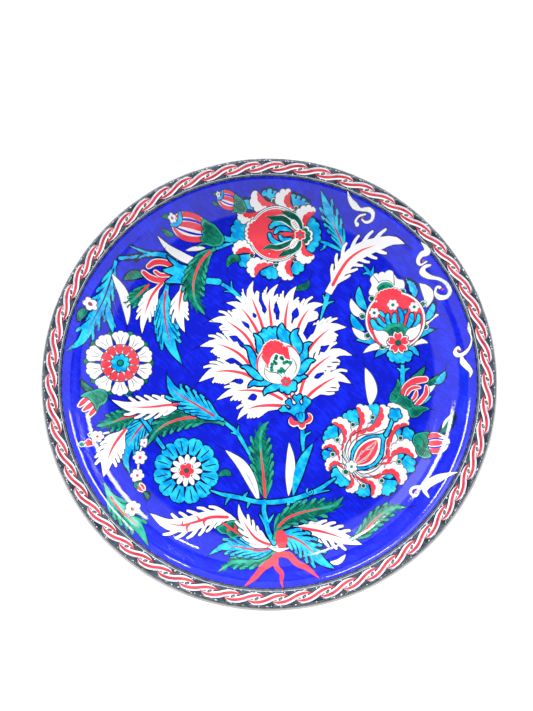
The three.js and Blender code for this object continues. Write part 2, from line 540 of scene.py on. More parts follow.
def hand_spaced(clockwise):
    """The links are spaced by eye: a little wide down the right side, close across the foot."""
    return clockwise + math.radians(1.9) * np.sin(clockwise) + math.radians(0.8) * (1 - np.cos(clockwise))


def polar(radius, clockwise):
    """Plan points at a radius and an angle clockwise from the top of the painting."""
    clockwise = hand_spaced(np.asarray(clockwise, float))
    return np.column_stack([radius * np.sin(clockwise), radius * np.cos(clockwise)])


def smooth(points, closed=False, step=0.7):
    """A centripetal Catmull-Rom curve through the points."""
    points = np.array(points, float)
    if closed:
        points = np.vstack([points[-1], points, points[:2]])
    else:
        points = np.vstack([2 * points[0] - points[1], points, 2 * points[-1] - points[-2]])
    pieces = []
    for a, b, c, d in zip(points, points[1:], points[2:], points[3:]):
        t1, t2, t3 = (max(np.linalg.norm(q - p), 1e-6) ** 0.5 for p, q in ((a, b), (b, c), (c, d)))
        out = ((b - a) / t1 - (c - a) / (t1 + t2) + (c - b) / t2) * t2
        into = ((c - b) / t2 - (d - b) / (t2 + t3) + (d - c) / t3) * t2
        count = max(2, int(np.linalg.norm(c - b) / step) + 1)
        t = (np.arange(count) / count)[:, None]
        from_b, from_c = 2 * t**3 - 3 * t**2 + 1, 3 * t**2 - 2 * t**3
        pieces.append(from_b * b + (t**3 - 2 * t**2 + t) * out + from_c * c + (t**3 - t**2) * into)
    if not closed:
        pieces.append(points[-2:-1])
    return np.vstack(pieces)


def scaled(outline, centre, grow):
    """An outline made larger or smaller about a centre."""
    return (outline - centre) * grow + centre


def tapered(path, widths):
    """Closed outline of a stroke along a path, with a width at each of a few even stations."""
    path = np.asarray(path, float)
    along = np.gradient(path, axis=0)
    along /= np.maximum(np.linalg.norm(along, axis=1), 1e-9)[:, None]
    side = np.column_stack([-along[:, 1], along[:, 0]])
    reach = np.concatenate([[0], np.cumsum(np.linalg.norm(np.diff(path, axis=0), axis=1))])
    half = np.interp(reach / reach[-1], np.linspace(0, 1, len(widths)), widths)[:, None] / 2
    left, right = path + side * half, path - side * half
    first, last = half[0, 0], half[-1, 0]
    cap = np.linspace(0, math.pi, 7)[1:-1, None]
    nose = path[-1] - side[-1] * last * np.cos(cap) + along[-1] * last * np.sin(cap)
    tail = path[0] + side[0] * first * np.cos(cap) - along[0] * first * np.sin(cap)
    keep = [right, nose, left[::-1], tail] if first > 0.05 and last > 0.05 else [right, left[::-1]]
    if first > 0.05 >= last:
        keep = [right, left[::-1], tail]
    if last > 0.05 >= first:
        keep = [right, nose, left[::-1]]
    return np.vstack(keep)


border = Painting("braided_border")
border.add(*ring_patch(border_inner + 0.25, border_outer - 0.1, turns=480), slate, 0)
turn = np.linspace(0, 2 * math.pi, 900, endpoint=False)
for radius, width, ink in (
    (border_outer - 0.2, 0.5, grey),
    (border_outer + 0.35, 0.22, grey),
    (border_inner + 0.1, 0.5, navy),
    (border_inner + 0.95, 0.7, grey),
    (border_inner + 1.75, 0.35, shade),
):
    border.line(polar(radius, turn), width, ink, 1, closed=True)
spread = np.random.default_rng(58)
for index in range(links):
    start = index * link_turn
    share = np.array([0, 0.12, 0.28, 0.42, 0.54, 0.68, 0.82, 0.93, 1.0])
    rise = np.array([-0.80, -1.0, -0.80, -0.30, 0.30, 0.80, 1.0, 0.86, 0.50])
    spine = smooth(polar(braid_radius + braid_swing * rise, start + share * strand_turn), step=0.6)
    band = tapered(spine, [0.5, 2.6, strand_width, strand_width, strand_width, strand_width, 2.6, 0.3])
    border.line(band, 0.7, navy, 2, closed=True)
    border.fill(band, white, 4)
    lower = smooth(polar(braid_radius + braid_swing * rise + 1.55,
        start + (share + 0.02) * strand_turn)[1:-1], step=0.8)
    border.line(lower, 0.7, shade, 5, ends=0.9)
    border.fill(tapered(spine, [0.8, 1.6, 1.75, 1.7, 1.7, 1.75, 1.5, 0.4]), crimson, 6)
    eye = start + 1.30 * link_turn
    swing = np.linspace(0, 2 * math.pi, 20, endpoint=False)
    for size, ink, level in ((1.0, white, 3), (0.62, slate, 7)):
        around = eye + size * 2.3 * np.cos(swing) / braid_radius
        border.fill(polar(braid_radius + size * (1.5 * np.sin(swing) + 0.9 * np.cos(swing)), around), ink,
            level)
    curl = polar(braid_radius + np.array([-0.3, 0.4, 0.1]), eye + np.array([-0.5, 0.1, 0.6]) / braid_radius)
    border.line(smooth(curl, step=0.3), 0.25, shade, 8)
    for _ in range(9):
        outer = spread.random() < 0.5
        radius = braid_radius + (3.9 + 0.8 * spread.random()) * (1 if outer else -0.9)
        at = start + (0.95 if outer else 0.35) * link_turn + (spread.random() - 0.5) * 0.8 * link_turn
        size = 0.16 + 0.2 * spread.random()
        swing = np.linspace(0, 2 * math.pi, 8, endpoint=False)
        dot = polar(radius + size * np.sin(swing), at + 1.5 * size * np.cos(swing) / braid_radius)
        border.fill(dot, shade if spread.random() < 0.5 else white, 2)
border_piece = border.done("border_painting")
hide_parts("border_painting")

# ----------------------------------------
# Central flower. A great serrated flower reserved in white, thirteen fingered leaves spread from
# a turquoise cup, each with a red vein, and blue eyes of the ground left between them.
# ----------------------------------------
red = pooled("tomato_red", (0.97, 0.075, 0.11), (0.93, 0.045, 0.075), 70, 0.55, 0.4)
turquoise = pooled("turquoise", (0.03, 0.70, 0.97), (0.0, 0.34, 0.84), 160, 0.5, 0.5)
green = pooled("copper_green", (0.010, 0.31, 0.19), (0.004, 0.12, 0.085), 170, 0.50, 0.9)
mint = pooled("thin_green", (0.035, 0.46, 0.32), (0.015, 0.30, 0.20), 200, 0.55, 0.5)
dark_green = pooled("dark_green", (0.006, 0.17, 0.115), (0.004, 0.08, 0.06), 200, 0.5, 0.5)


def beside(centre, radius, angle):
    return centre[0] + radius * math.cos(angle), centre[1] + radius * math.sin(angle)


class Spine:
    """A curved line from a leaf's root to its tip, with places beside it."""

    def __init__(self, points):
        self.line = smooth(points, step=0.5)
        steps = np.linalg.norm(np.diff(self.line, axis=0), axis=1)
        self.reach = np.concatenate([[0], np.cumsum(steps)])
        self.length = self.reach[-1]
        along = np.gradient(self.line, axis=0)
        along /= np.linalg.norm(along, axis=1)[:, None]
        self.side = np.column_stack([-along[:, 1], along[:, 0]])

    def at(self, share, offset=0.0):
        """Points at shares of the length, set off to the left by offset."""
        where = np.clip(np.asarray(share, float), 0, 1) * self.length
        point = np.stack([np.interp(where, self.reach, self.line[:, k]) for k in (0, 1)], -1)
        side = np.stack([np.interp(where, self.reach, self.side[:, k]) for k in (0, 1)], -1)
        return point + side * (np.asarray(offset) + 0 * where)[..., None]


def leaf_half(width, belly=0.45, root=0.0):
    """Half width of a leaf at a share of its length: widest at belly, pointed at the tip."""
    power = math.log(0.5) / math.log(belly)

    def half(share):
        full = max(math.sin(math.pi * min(max(share, 0.0), 1.0) ** power), 0.0) ** 0.85
        return width / 2 * (max(full, root) if share < belly else full)

    return half


def blade(points, width, belly=0.42, root=0.0):
    """Outline of a plain pointed leaf along a curved spine."""
    spine, half = Spine(points), leaf_half(width, belly, root)
    shares = np.concatenate([np.linspace(0, 0.9, 16), [0.95, 1.0]])
    widths = np.array([half(share) for share in shares])
    return np.vstack([spine.at(shares, -widths), spine.at(shares[::-1],
        widths[::-1])[1 : None if root else -1]])


def hair(work, spine, length, ink, level, bend=0.25, width=0.7):
    """A hair line that runs on from a leaf's tip and curls to one side."""
    tip, before = spine.at(1.0), spine.at(1 - 2.5 / spine.length)
    step = (tip - before) / max(np.linalg.norm(tip - before), 1e-6)
    side = np.array([-step[1], step[0]]) * abs(length) * bend * (1 if length > 0 else -1)
    far = tip + step * abs(length)
    work.brush([tip - step, tip + step * abs(length) * 0.5 + side * 0.35, far + side], [width, 0.5, 0.25],
        ink, level)


def fingered(
    work, points, width, fingers, ink, level, belly=0.5, root=0.5, core=0.62, first=0.3, last=0.8, reach=0.15,
    finger=2.1, edge=0.5, edge_ink=None, slit_ink=None, vein=None, whisker=0.0,
):
    """A saz leaf: a blade with rounded fingers that lean to its tip, slits between them and a
    vein, which is given as its ink, the shares where it starts and ends, and its width."""
    spine, half = Spine(points), leaf_half(width, belly, root)
    if whisker:
        hair(work, spine, whisker, edge_ink or navy, level)
    work.shape(blade(points, width * core, belly, root), ink, level, edge, edge_ink)
    for hand, count in zip((1, -1), fingers if isinstance(fingers, tuple) else (fingers, fingers)):
        count = round(count * 0.8) if count > 5 else count
        slim = min(finger, 0.78 * (last - first) * spine.length / max(count, 1))
        for number in range(count):
            at = first + (last - first) * (number + 0.5) / count
            off = hand * (half(at + reach * 0.5) * 1.06 + 0.2)
            lane = np.array([at - reach * 0.7, at, at + reach * 0.6, at + reach])
            path = smooth(spine.at(lane, off * np.array([0.15, 0.52, 0.86, 1.0])))
            work.shape(tapered(path, [slim * 1.2, slim * 1.1, slim, slim * 0.7]), ink, level, edge, edge_ink)
            if slit_ink and number:
                back = (last - first) / count * 0.5
                slit = smooth(spine.at(lane - back, off * np.array([0.3, 0.5, 0.78, 0.92])))
                work.fill(tapered(slit, [0.1, 0.5, 0.7, 0.8]), slit_ink, level + 2)
    if vein:
        vein_ink, start, end, thick = vein
        widths = [thick * k for k in (1, 1, 0.85, 0.55, 0.05)]
        work.brush(spine.at(np.linspace(start, end, 5)), widths, vein_ink, level + 3)


def oval(centre, length, width, turn=0.0, steps=28):
    angles = np.linspace(0, 2 * math.pi, steps, endpoint=False)
    x, y = length / 2 * np.cos(angles), width / 2 * np.sin(angles)
    return np.column_stack(
        [centre[0] + x * math.cos(turn) - y * math.sin(turn),
        centre[1] + x * math.sin(turn) + y * math.cos(turn)]
    )


def lobes(knots, swell=0.5, centre=None, steps=6):
    """Round lobes between each pair of knots, to the right of the way they run, or away from centre."""
    knots = np.array(knots, float)
    turns = np.linspace(0, math.pi, steps + 1)[:-1, None]
    pieces = []
    for a, b in zip(knots, knots[1:]):
        run = b - a
        side = np.array([run[1], -run[0]])
        if centre is not None and side @ ((a + b) / 2 - np.array(centre)) < 0:
            side = -side
        pieces.append((a + b) / 2 - run / 2 * np.cos(turns) + side * swell * np.sin(turns))
    return np.vstack(pieces + [knots[-1:]])


flower = Painting("central_flower")
white_leaves = (
    ([(-2, 26), (-6, 40), (-10.5, 52), (-13.6, 61), (-11.2, 68.8)], 14.5, (3, 3), 0.62, 0.80, 4),
    ([(2.5, 26), (1, 41), (0, 52), (1.2, 60), (6.2, 66.6)], 12.5, (3, 3), 0.60, 0.80, -5),
    ([(11, 25), (11, 40), (12.6, 51), (15, 59.5), (19, 65)], 15, (4, 3), 0.50, 0.78, 0),
    ([(17, 22), (20.5, 37), (25.5, 46), (30.5, 51), (38, 52)], 16.5, (3, 4), 0.50, 0.80, 0),
    ([(22, 10), (29, 22.5), (36.5, 30.5), (43.5, 35.6), (53.3, 35.8)], 17.5, (5, 5), 0.44, 0.82, 3),
    ([(20, -15), (23, -3), (30, 6.5), (39, 13.6), (47, 18.3), (57, 16)], 18, (5, 5), 0.36, 0.82, 4),
    ([(22, -17), (29.5, -9.3), (37.5, -3.6), (46.5, 1), (55.8, -3.4)], 16.5, (4, 4), 0.34, 0.82, -3),
    ([(-4, 24), (-11.5, 38.5), (-17.5, 46.8), (-22.5, 51.6), (-30, 53)], 14.5, (4, 3), 0.5, 0.82, 4),
    ([(-8, 14), (-15, 28), (-24, 36.3), (-32.5, 41), (-42, 39.6)], 16, (4, 4), 0.44, 0.82, 5),
    ([(-10, 4), (-19, 15.5), (-28, 21), (-37.5, 24.2), (-47.8, 22.2)], 16, (5, 4), 0.42, 0.82, 6),
    ([(-6, -3), (-17, 3), (-28, 5), (-38, 4.2), (-48.3, -2.5)], 16, (5, 4), 0.4, 0.80, 6),
    ([(13, -17), (1, -10.5), (-12, -8.3), (-25, -9.3), (-36, -15)], 13.5, (5, 5), 0.42, 0.82, 5),
    ([(12, -19), (1, -18.6), (-9, -19.4), (-16.6, -22.2), (-21.8, -28.4)], 13, (4, 4), 0.36, 0.80, 4),
)
for points, width, fingers, first, last, whisker in white_leaves:
    size, last = Spine(points).length, last - 0.08
    fingered(
        flower, points, width, fingers, white, 2, belly=0.45, root=0.7, core=0.58, first=first, last=last,
        reach=6.2 / size, finger=2.2, vein=(red, 0.1, 0.73, 2.1), whisker=whisker, edge=0.5,
    )
flower.fill(smooth([(-7, 36), (-17, 25), (-18, 8), (-17, -6), (0, -17), (22, -19), (30, -6), (30, 10),
    (27, 24), (19, 36), (6, 41)], True), white, 4)
eyes = (
    ((-3.2, 46), (-4, 52), 2.0), ((4.4, 45.3), (5.4, 52), 2.3), ((17.2, 42.2), (19.3, 49.5), 3.3),
    ((25.6, 30.8), (32.4, 37.4), 3.6), ((35, 18.8), (41.3, 23.2), 2.2), ((31, 0.4), (37.4, 4), 2.0),
    ((-14, 35.4), (-18.6, 39.8), 1.6), ((-21.2, 26.6), (-27.6, 29.2), 2.6), ((-23, 12), (-30, 12.2), 2.7),
    ((-18, -2), (-23.8, -2.4), 2.5), ((-8.6, -12.2), (-14.8, -14.2), 3.1), ((-9.6, 42.6), (-11.2, 45.6), 1.5),
)
for root, tip, width in eyes:
    root, tip = np.array(root), np.array(tip)
    flower.shape(blade([tip, (root + tip) / 2, root], width * 1.35, 0.62), cobalt, 8, edge=0.4)
flower.done()

# ----------------------------------------
# Bud in the central flower. A red scalloped disc with green florets and two white petals,
# ringed by turquoise leaves, over a small red flower.
# ----------------------------------------
bud = Painting("central_bud")
for path, width in (
    ([(15, -16), (9.5, -10.5), (4.5, -8)], 1.7), ([(15.4, -14), (14, -10.6), (13.4, -8.6)], 1.3),
    ([(17.4, -12), (16.8, -9), (16, -6)], 1.3),
):
    bud.brush(path, [width, width, width * 0.8], red, 6)
ring_leaves = (
    ([(11.5, 22), (11.2, 28), (8.6, 32.6), (8.6, 38.4)], 9.5, 0.36),
    ([(20.8, 17), (19.4, 23), (17.2, 28.4), (17.3, 31.5), (20.2, 34.4)], 7.2, 0.4),
    ([(21.8, 10.5), (23.6, 15), (23.6, 19), (25, 22.6), (29.4, 24.8)], 6.0, 0.42),
    ([(19.3, 2.2), (22.6, 6), (24.8, 9.4), (27.4, 12), (31.4, 12.6)], 5.6, 0.42),
    ([(13.8, -2.4), (18.4, -1), (21.6, 1), (25.9, 1.2)], 4.9, 0.45),
    ([(-7.2, 17), (-6.7, 23), (-7.6, 27.4), (-10.8, 31)], 4.7, 0.42),
    ([(-8.6, 5.2), (-10.8, 11.6), (-12.5, 17), (-14.4, 20.8), (-18, 22.8)], 4.9, 0.42),
    ([(-4.4, -1.2), (-9.3, 2), (-13, 5.5), (-16, 7.6), (-19.8, 8)], 4.9, 0.42),
    ([(2.6, -4), (-3, -3.2), (-8, -3), (-11.5, -3.4), (-14.4, -6.2)], 4.6, 0.48),
    ([(8.6, -4.2), (4, -6), (0, -7.5), (-2.6, -9), (-3.7, -11.8)], 5.0, 0.42),
)
fan = np.vstack(
    [lobes([(-7.6, 30.4), (-4.9, 31.6)], 0.25, centre=(0, 22)),
    lobes([(-4.9, 31.6), (-1.4, 33.4), (2.0, 34), (5.7, 33.4)], 0.62, centre=(0, 22)),
     [(5.9, 30), (7.5, 24), (0, 18), (-5, 21), (-4.8, 26)]]
)
bud.shape(fan, turquoise, 7, edge=1.05)
for number, (points, width, belly) in enumerate(ring_leaves):
    bud.shape(blade(points, width * 0.9, belly), turquoise, 8 + 2 * (number % 2), edge=1.1)
cup_lobes = [(8.6, -4), (7.2, -7.2), (10.2, -8.4), (14.9, -8.2), (18, -5.4), (14.6, -2.4)]
bud.shape(lobes(cup_lobes, 0.5, centre=(12.2, -4)), turquoise, 10, edge=1.05)
bud.fill(oval((12.2, -8), 3.2, 2.6), pooled("deep_turquoise", (0.0, 0.36, 0.72), (0.0, 0.2, 0.5), 200, 0.5,
    0.5), 11)
ball = oval((6.3, 10.8), 30, 29.4)
bud.shape(ball, white, 12, edge=0.4, edge_ink=grey)
scallops = [(-4.6, 17), (-4.4, 19.2), (-3.3, 21.4), (-2.2, 23.4), (-0.2, 24.8), (2.6, 25.7), (5.2, 25.6),
    (7.4, 24.4), (9.6, 23.2)]
disc = np.vstack(
    [lobes(scallops, 0.36, centre=(4, 14)),
    [(8.8, 21.9), (9.6, 22.4), (12.8, 21.6), (13.6, 17), (14.4, 13)],
    lobes([(14.4, 13), (11.2, 13.8), (8.6, 16.6), (4.6, 17.6), (2, 15.4), (0.4, 11), (-0.8, 7)], 0.12,
    centre=(16, 22))[1:],
     [(-2.4, 10), (-4.6, 13), (-5.6, 15)]]
)
bud.line(disc, 2.2, grey, 13, closed=True)
bud.line(disc, 1.5, white, 14, closed=True)
bud.fill(disc, red, 15)
bud.brush([(-5.4, 17.4), (-7.4, 14), (-8.3, 9.4), (-7.6, 4.6)], [0.9, 1.3, 1.3, 0.5], red, 15)
bud.brush([(12, 22.4), (15.4, 22), (18.2, 19.6), (20.1, 16)], [0.9, 1.2, 1.1, 0.4], red, 15)


def florets(work, groups, level):
    """Green florets of two or three round lobes each, with a white edge and a dark heart."""
    for group in groups:
        for x, y, size in group:
            work.fill(oval((x, y), 2 * size + 1.1, 2 * size + 1.1), white, level)
        for x, y, size in group:
            work.fill(oval((x, y), 2 * size, 2 * size), mint, level + 1)
        for x, y, size in group:
            work.fill(oval((x, y), 1.5 * size, 1.5 * size), green, level + 2)
        x, y = np.mean([place[:2] for place in group], 0)
        work.fill(oval((x, y), 2.1, 1.5, 0.4), dark_green, level + 3)


florets(
    bud,
    (
        ((4.3, 13.7, 1.4), (4.9, 15.4, 1.3)), ((8.3, 14.2, 1.5), (9.2, 13.2, 1.1)),
        ((10.2, 10.7, 1.4), (12, 11.5, 1.3), (14, 10.9, 1.4)),
        ((1.9, 9.6, 1.4), (1.3, 7.4, 1.0), (1.6, 5.8, 1.4)),
        ((4.5, 10.2, 1.3), (3.2, 11.8, 1.0)), ((6.4, 4.9, 1.4), (8.4, 6.3, 1.6), (9.8, 5, 1.4), (8, 4, 1.0)),
    ),
    16,
)
left_petal = [(8.6, 0.4), (7, 2.4), (4, 4), (0, 4.4), (-3, 6.8), (-4.6, 2.4), (-1, -1.8), (4, -3.2),
    (8, -2.6)]
right_petal = [(10.8, 1.6), (10.6, 4), (12.4, 6.8), (15.2, 10), (15.8, 13.2), (17.6, 12), (19, 7),
    (17, 2.6), (13.4, -0.6)]
for petal in (left_petal, right_petal):
    bud.fill(smooth(petal, True), white, 20)
for path, width, ink in (
    ([(8.7, 0.2), (7, 2.5), (4, 4), (0, 4.4), (-2.9, 6.6)], 0.6, slate),
    ([(11, 1.4), (10.5, 4), (12.4, 6.9), (15.2, 10.2), (15.7, 13.2)], 0.6, slate),
    ([(-2.9, 8.6), (-3.5, 4.4), (-2, 0.4), (0.6, -2)], 0.5, grey),
    ([(15.2, 14.4), (17.8, 11), (18.4, 6.6), (17.2, 3.2)], 0.6, grey),
    ([(-2.8, 10), (-2, 7)], 0.4, grey),
):
    bud.line(smooth(path), width, ink, 21, ends=0.6)


def blossom(work, centre, radius, petals, ink, level, edge=0.5, edge_ink=None, turn=0.0, swell=0.55,
        heart=None):
    """A small round flower with its petals as lobes, and a dot at its heart."""
    angles = turn + np.arange(petals + 1) * 2 * math.pi / petals
    knots = np.column_stack([centre[0] + radius * 0.72 * np.cos(angles),
        centre[1] + radius * 0.72 * np.sin(angles)])
    work.shape(lobes(knots, swell, centre=centre)[:-1], ink, level, edge, edge_ink)
    if heart:
        work.fill(oval(centre, radius * 0.62, radius * 0.62), grey, level + 2)
        work.fill(oval(centre, radius * 0.42, radius * 0.42), heart, level + 3)


blossom(bud, (11.4, -2.3), 3.4, 6, red, 22, edge=0.25, edge_ink=crimson, turn=0.3, heart=mint)
bud.done()

# ----------------------------------------
# Cup under the central flower: a turquoise calyx of forked fingers with white gaps, a small
# ribbed crown, and a red crescent edged in white that holds the stem.
# ----------------------------------------
cup = Painting("central_cup")
calyx = (
    (6.9, -22), (8, -23), (11.5, -22.9), (15, -24.2), (17.2, -25.6), (19.5, -25), (23.6, -24.6),
    (24, -21.8), (26, -19.2),
    (28, -17), (28.2, -15.3), (27, -14.3), (25.8, -13.8), (24.6, -12.3), (23.6, -12.9), (23.1, -15),
    (23, -17.5),
    (21.8, -18.7), (20.7, -17.6), (20.2, -16), (20.9, -14.5), (21.9, -13.1), (21.8, -11.8), (20.5, -11.1),
    (19.3, -11.7),
    (18.6, -12.4), (17.1, -11.6), (16.2, -12.7), (16.6, -13.9), (18.1, -15.8), (18.7, -17.4), (17, -18.9),
    (15.5, -18),
    (15, -16.6), (14.5, -14.8), (13.4, -14.2), (12.6, -15.1), (11.5, -15.6), (11.2, -16.7), (12.4, -18),
    (14.5, -19.3),
    (14.9, -20.9), (13.2, -21.9), (11.7, -20.8), (10.8, -19.3), (9.7, -18.6), (8.8, -19.2), (8.2, -20.6),
    (7, -21.2),
)
cup.shape(smooth(calyx, True, 0.4), turquoise, 10, edge=0.9)
horns = [(15.3, -26.7), (14.6, -26.4), (13.2, -28.6), (13.8, -31), (16.2, -32.4), (18.6, -32),
    (19.7, -31.8), (20.4, -33.2), (22.4, -34), (24, -33), (24.4, -31.2), (26.6, -30.4), (28.6, -28.6),
    (28.9, -26.4), (27.6, -24.4), (26.2, -24), (27, -26), (25.4, -28.4), (22, -30), (18.2, -29.2),
    (16.4, -28.4)]
halo = [(15, -26.4), (13, -28.4), (13.4, -31.4), (16.2, -33.3), (18.6, -32.8), (19.6, -33), (20.4, -34.6),
    (22.6, -35), (24.6, -33.4), (24.8, -31.6), (27.2, -31), (29.2, -28.8), (29.5, -26.2), (27.8, -24),
    (26, -23.7), (26.8, -27), (22, -30), (16, -28.4)]
cup.shape(smooth(halo, True, 0.5), white, 10, edge=0.6)
cup.fill(smooth(horns, True, 0.5), red, 13)
crown = [(18, -25.4), (18.9, -24.4), (19.8, -25), (21.2, -23.4), (22.2, -24.4), (23.5, -23.4),
    (23.9, -25.6), (23.9, -28), (22.5, -30.1), (20.5, -30), (19.2, -28.2)]
cup.shape(smooth(crown, True, 0.5), turquoise, 15, edge=0.6)
for x, y in ((19.8, -25.2), (22.2, -24.6)):
    cup.brush([(x, y), (x + 0.3, y - 2.4)], [0.7, 0.1], navy, 17)
cup.done()

# ----------------------------------------
# Top pomegranate. A red ball in white and dark rings, with turquoise lenses and green sickle
# leaves on it, ringed by frilled white petals with red edges and turquoise lobes between them.
# ----------------------------------------


def even(path, count):
    """Points at even steps along a path."""
    path = np.asarray(path, float)
    reach = np.concatenate([[0], np.cumsum(np.linalg.norm(np.diff(path, axis=0), axis=1))])
    at = np.linspace(0, reach[-1], count)
    return np.column_stack([np.interp(at, reach, path[:, k]) for k in (0, 1)])


def frilled(work, edge, scallops, level, band=0.34):
    """A white petal with a frilled outer edge and a red band along its smooth edge, root to tip."""
    edge = smooth(edge, step=0.5)
    knots = np.vstack([edge[-1], even(np.vstack([edge[-1], scallops, edge[0]]), len(scallops) + 3)[1:]])
    centre = (edge.mean(0) + np.mean(scallops, 0)) / 2
    work.reserve(np.vstack([edge, lobes(knots, 0.38, centre=centre)[1:-1]]), level)
    near, far = even(edge, 6), even(knots[::-1], 6)
    depth = band * np.array([0.15, 0.9, 1.25, 1.2, 1.0, 0.3])[:, None]
    inner = (near + (far - near) * depth)[::-1]
    work.fill(np.vstack([edge, lobes(inner, 0.28, centre=edge.mean(0))]), red, level + 3)


def lobed(work, outline, ink, level, lobe_count, swell=0.42, base=2, edge=1.05):
    """A leaf of round lobes: base points first, then the lobed edge shared out evenly."""
    knots = even(outline[base - 1 :], lobe_count + 1)
    centre = np.mean(outline, 0)
    work.shape(np.vstack([np.array(outline[: base - 1]).reshape(-1, 2),
        lobes(knots, swell, centre=centre)]), ink, level, edge)


def capped_ball(work, centre, radius, level, ink=green):
    work.reserve(oval(centre, 2 * radius + 0.5, 2 * radius + 0.5), level, 0.35)
    work.fill(oval(centre, 1.9 * radius, 1.8 * radius), ink, level + 2)
    work.fill(oval(centre, 1.2 * radius, 1.1 * radius), dark_green, level + 3)


top = Painting("top_pomegranate")
frills = (
    ([(4.7, 122), (-2.3, 124), (-5, 126), (-8.3, 128.3)], [(-12.7, 125.3), (-11.7, 120.7), (-5.7, 118.7)]),
    ([(17.7, 119.3), (14.3, 122.7), (14.7, 128.3)],
    [(11.7, 129), (7, 128), (4.3, 125.7), (5.7, 122.7), (8.3, 120.7)]),
    ([(25, 107.3), (28.3, 113.3), (32, 116.7)],
    [(29, 120), (24.3, 120), (20.3, 118.7), (18.3, 115.3), (21.7, 110.7)]),
    ([(24.3, 97.3), (26.3, 90.7), (31, 87.7)],
    [(31, 85.3), (27.7, 83.3), (25, 81.7), (21, 83.3), (18.3, 89.3)]),
    ([(17.7, 86), (15.3, 82), (15, 76.7), (16.7, 72)],
    [(12.3, 70), (9, 71.3), (7, 74.7), (5.7, 78), (7.7, 82)]),
    ([(3, 80.7), (-1.7, 79.3), (-6.3, 76.7), (-9.7, 72)],
    [(-11.7, 72), (-14.3, 75.3), (-15, 81.3), (-12.3, 85.3), (-5, 82.7)]),
    ([(-11, 87.7), (-16.3, 89.3), (-23.7, 88)],
    [(-24.7, 87.3), (-25, 92), (-23.7, 96), (-19, 97.3), (-15, 96.7), (-11.7, 94)]),
    ([(-5.7, 118.7), (-13, 116.7), (-20.3, 118)],
    [(-22, 116.7), (-21.7, 113.3), (-19, 110.7), (-15.7, 110), (-10.3, 112)]),
)
blue_lobes = (
    ([(5.7, 126.7), (1.7, 124), (-5.3, 126.7), (-2.3, 128.7), (0.3, 129), (3.7, 127.7), (5.7, 126.7)], 3, 3),
    ([(17, 120), (15, 126.7), (19, 125.3), (23.7, 124), (27.7, 120.7)], 2, 4),
    ([(26, 91.7), (30, 100.7), (26.7, 109), (28.3, 112.7), (33.3, 110), (35, 104), (34.6, 98.3), (31.7, 93),
    (28.6, 90)], 4, 6),
    ([(17.7, 82.3), (15, 77.3), (16.3, 74), (21.7, 76), (24.3, 80), (22.3, 82.7)], 2, 4),
    ([(2, 79.7), (-5.7, 76), (-2.3, 73), (0.3, 70.7), (3.7, 71.3), (6.3, 73.3), (5, 77.3)], 2, 4),
    ([(-13.7, 88), (-22, 87), (-20.3, 81.3), (-16.3, 78), (-14, 81.3), (-12.3, 84)], 2, 4),
    ([(-15, 110), (-15, 98), (-23, 96.7), (-25.6, 101.3), (-25.4, 106.7), (-23, 112), (-16, 112)], 2, 6),
    ([(-11.7, 119), (-19.3, 119.5), (-18.6, 122.7), (-15, 124), (-12.3, 122)], 2, 3),
)
for outline, base, count in blue_lobes:
    lobed(top, outline, turquoise, 2, count, base=base)
for edge, scallops in frills:
    frilled(top, edge, scallops, 8)
for place in ((3, 123.7), (18.7, 119.3), (18.3, 84), (4.7, 80), (-12.3, 87), (-9, 119)):
    capped_ball(top, place, 1.6, 4)
centre = (4.5, 102)
for radius, ink, level in ((19.6, grey, 12), (19.1, white, 13), (18.4, slate, 14), (18.0, white, 16),
        (17.4, red, 18)):
    top.fill(oval(centre, 2 * radius, 2 * radius, steps=72), ink, level)
bulge = [(-9, 110.6), (-12, 109.8), (-14, 107.3), (-14.4, 104.4), (-14.4, 101.6), (-13.6, 98.9),
    (-12.2, 97), (-9.4, 96.4)]
bulge_shape = np.vstack([lobes(bulge, 0.45, centre=centre), [(-6, 97), (-6, 110)]])
for grow, ink, level in ((1.20, slate, 14), (1.15, white, 16), (1.0, red, 19)):
    top.fill(scaled(bulge_shape, [-4, 103.5], grow), ink, level)
for path, width, level in (
    ([(1, 107.6), (3.4, 109.7), (8, 110.4), (14.5, 107.8)], 3.6, 20),
    ([(4.2, 103.8), (6.6, 106.3), (11, 106.4), (16, 104.6)], 3.2, 22),
    ([(0, 102.6), (1.5, 98.8), (5.6, 96.2), (12, 95.2)], 3.0, 20),
    ([(7.4, 101.2), (9, 98.9), (12, 98.5), (16, 99.8)], 2.8, 22),
):
    top.shape(tapered(smooth(path), [width * 0.7, width, width * 0.9, 0.4]), turquoise, level, edge=0.9)
for path, width in (
    ([(-2.7, 115), (3, 113.4), (9, 113.4), (14, 110.6), (18.5, 105)], 3.8),
    ([(7.7, 118), (13, 116.4), (18.6, 113.4), (22, 108.6), (23.4, 104.5)], 4.0),
    ([(-5.4, 91.2), (0, 93.4), (6, 93), (11.5, 95), (17.5, 99)], 3.8),
    ([(5.7, 85.8), (10.6, 88.6), (15.6, 90.2), (20.4, 94), (22.2, 99.6)], 4.2),
):
    top.brush(path, [0.2, width, width + 1.2, width + 1.0, 0.6], white, 24)
    top.brush(path, [0.1, width, width, width * 0.9, 0.5], green, 25)
    top.brush(path, [0.1, width * 0.6, width * 0.75, width * 0.5, 0.2], dark_green, 26)
for x, y, turn in ((18.2, 109, 2.2), (17.2, 95.8, 1.0)):
    top.shape(oval((x, y), 9, 4.4, turn), white, 28, edge=0.25, edge_ink=green)
    for step in range(8):
        dot = (x + (1.1 if step % 2 else -0.6) * math.sin(turn) + (step - 3.5) * 0.72 * math.cos(turn),
            y + (step - 3.5) * 0.72 * math.sin(turn))
        top.fill(oval(dot, 0.8, 0.8, steps=8), crimson, 30)
top.shape(tapered(smooth([(7.2, 103.2), (12, 102.6), (18.6, 102.6)]), [0.3, 2.8, 2.4, 0.6]), red, 26,
    edge=0.45, edge_ink=slate)
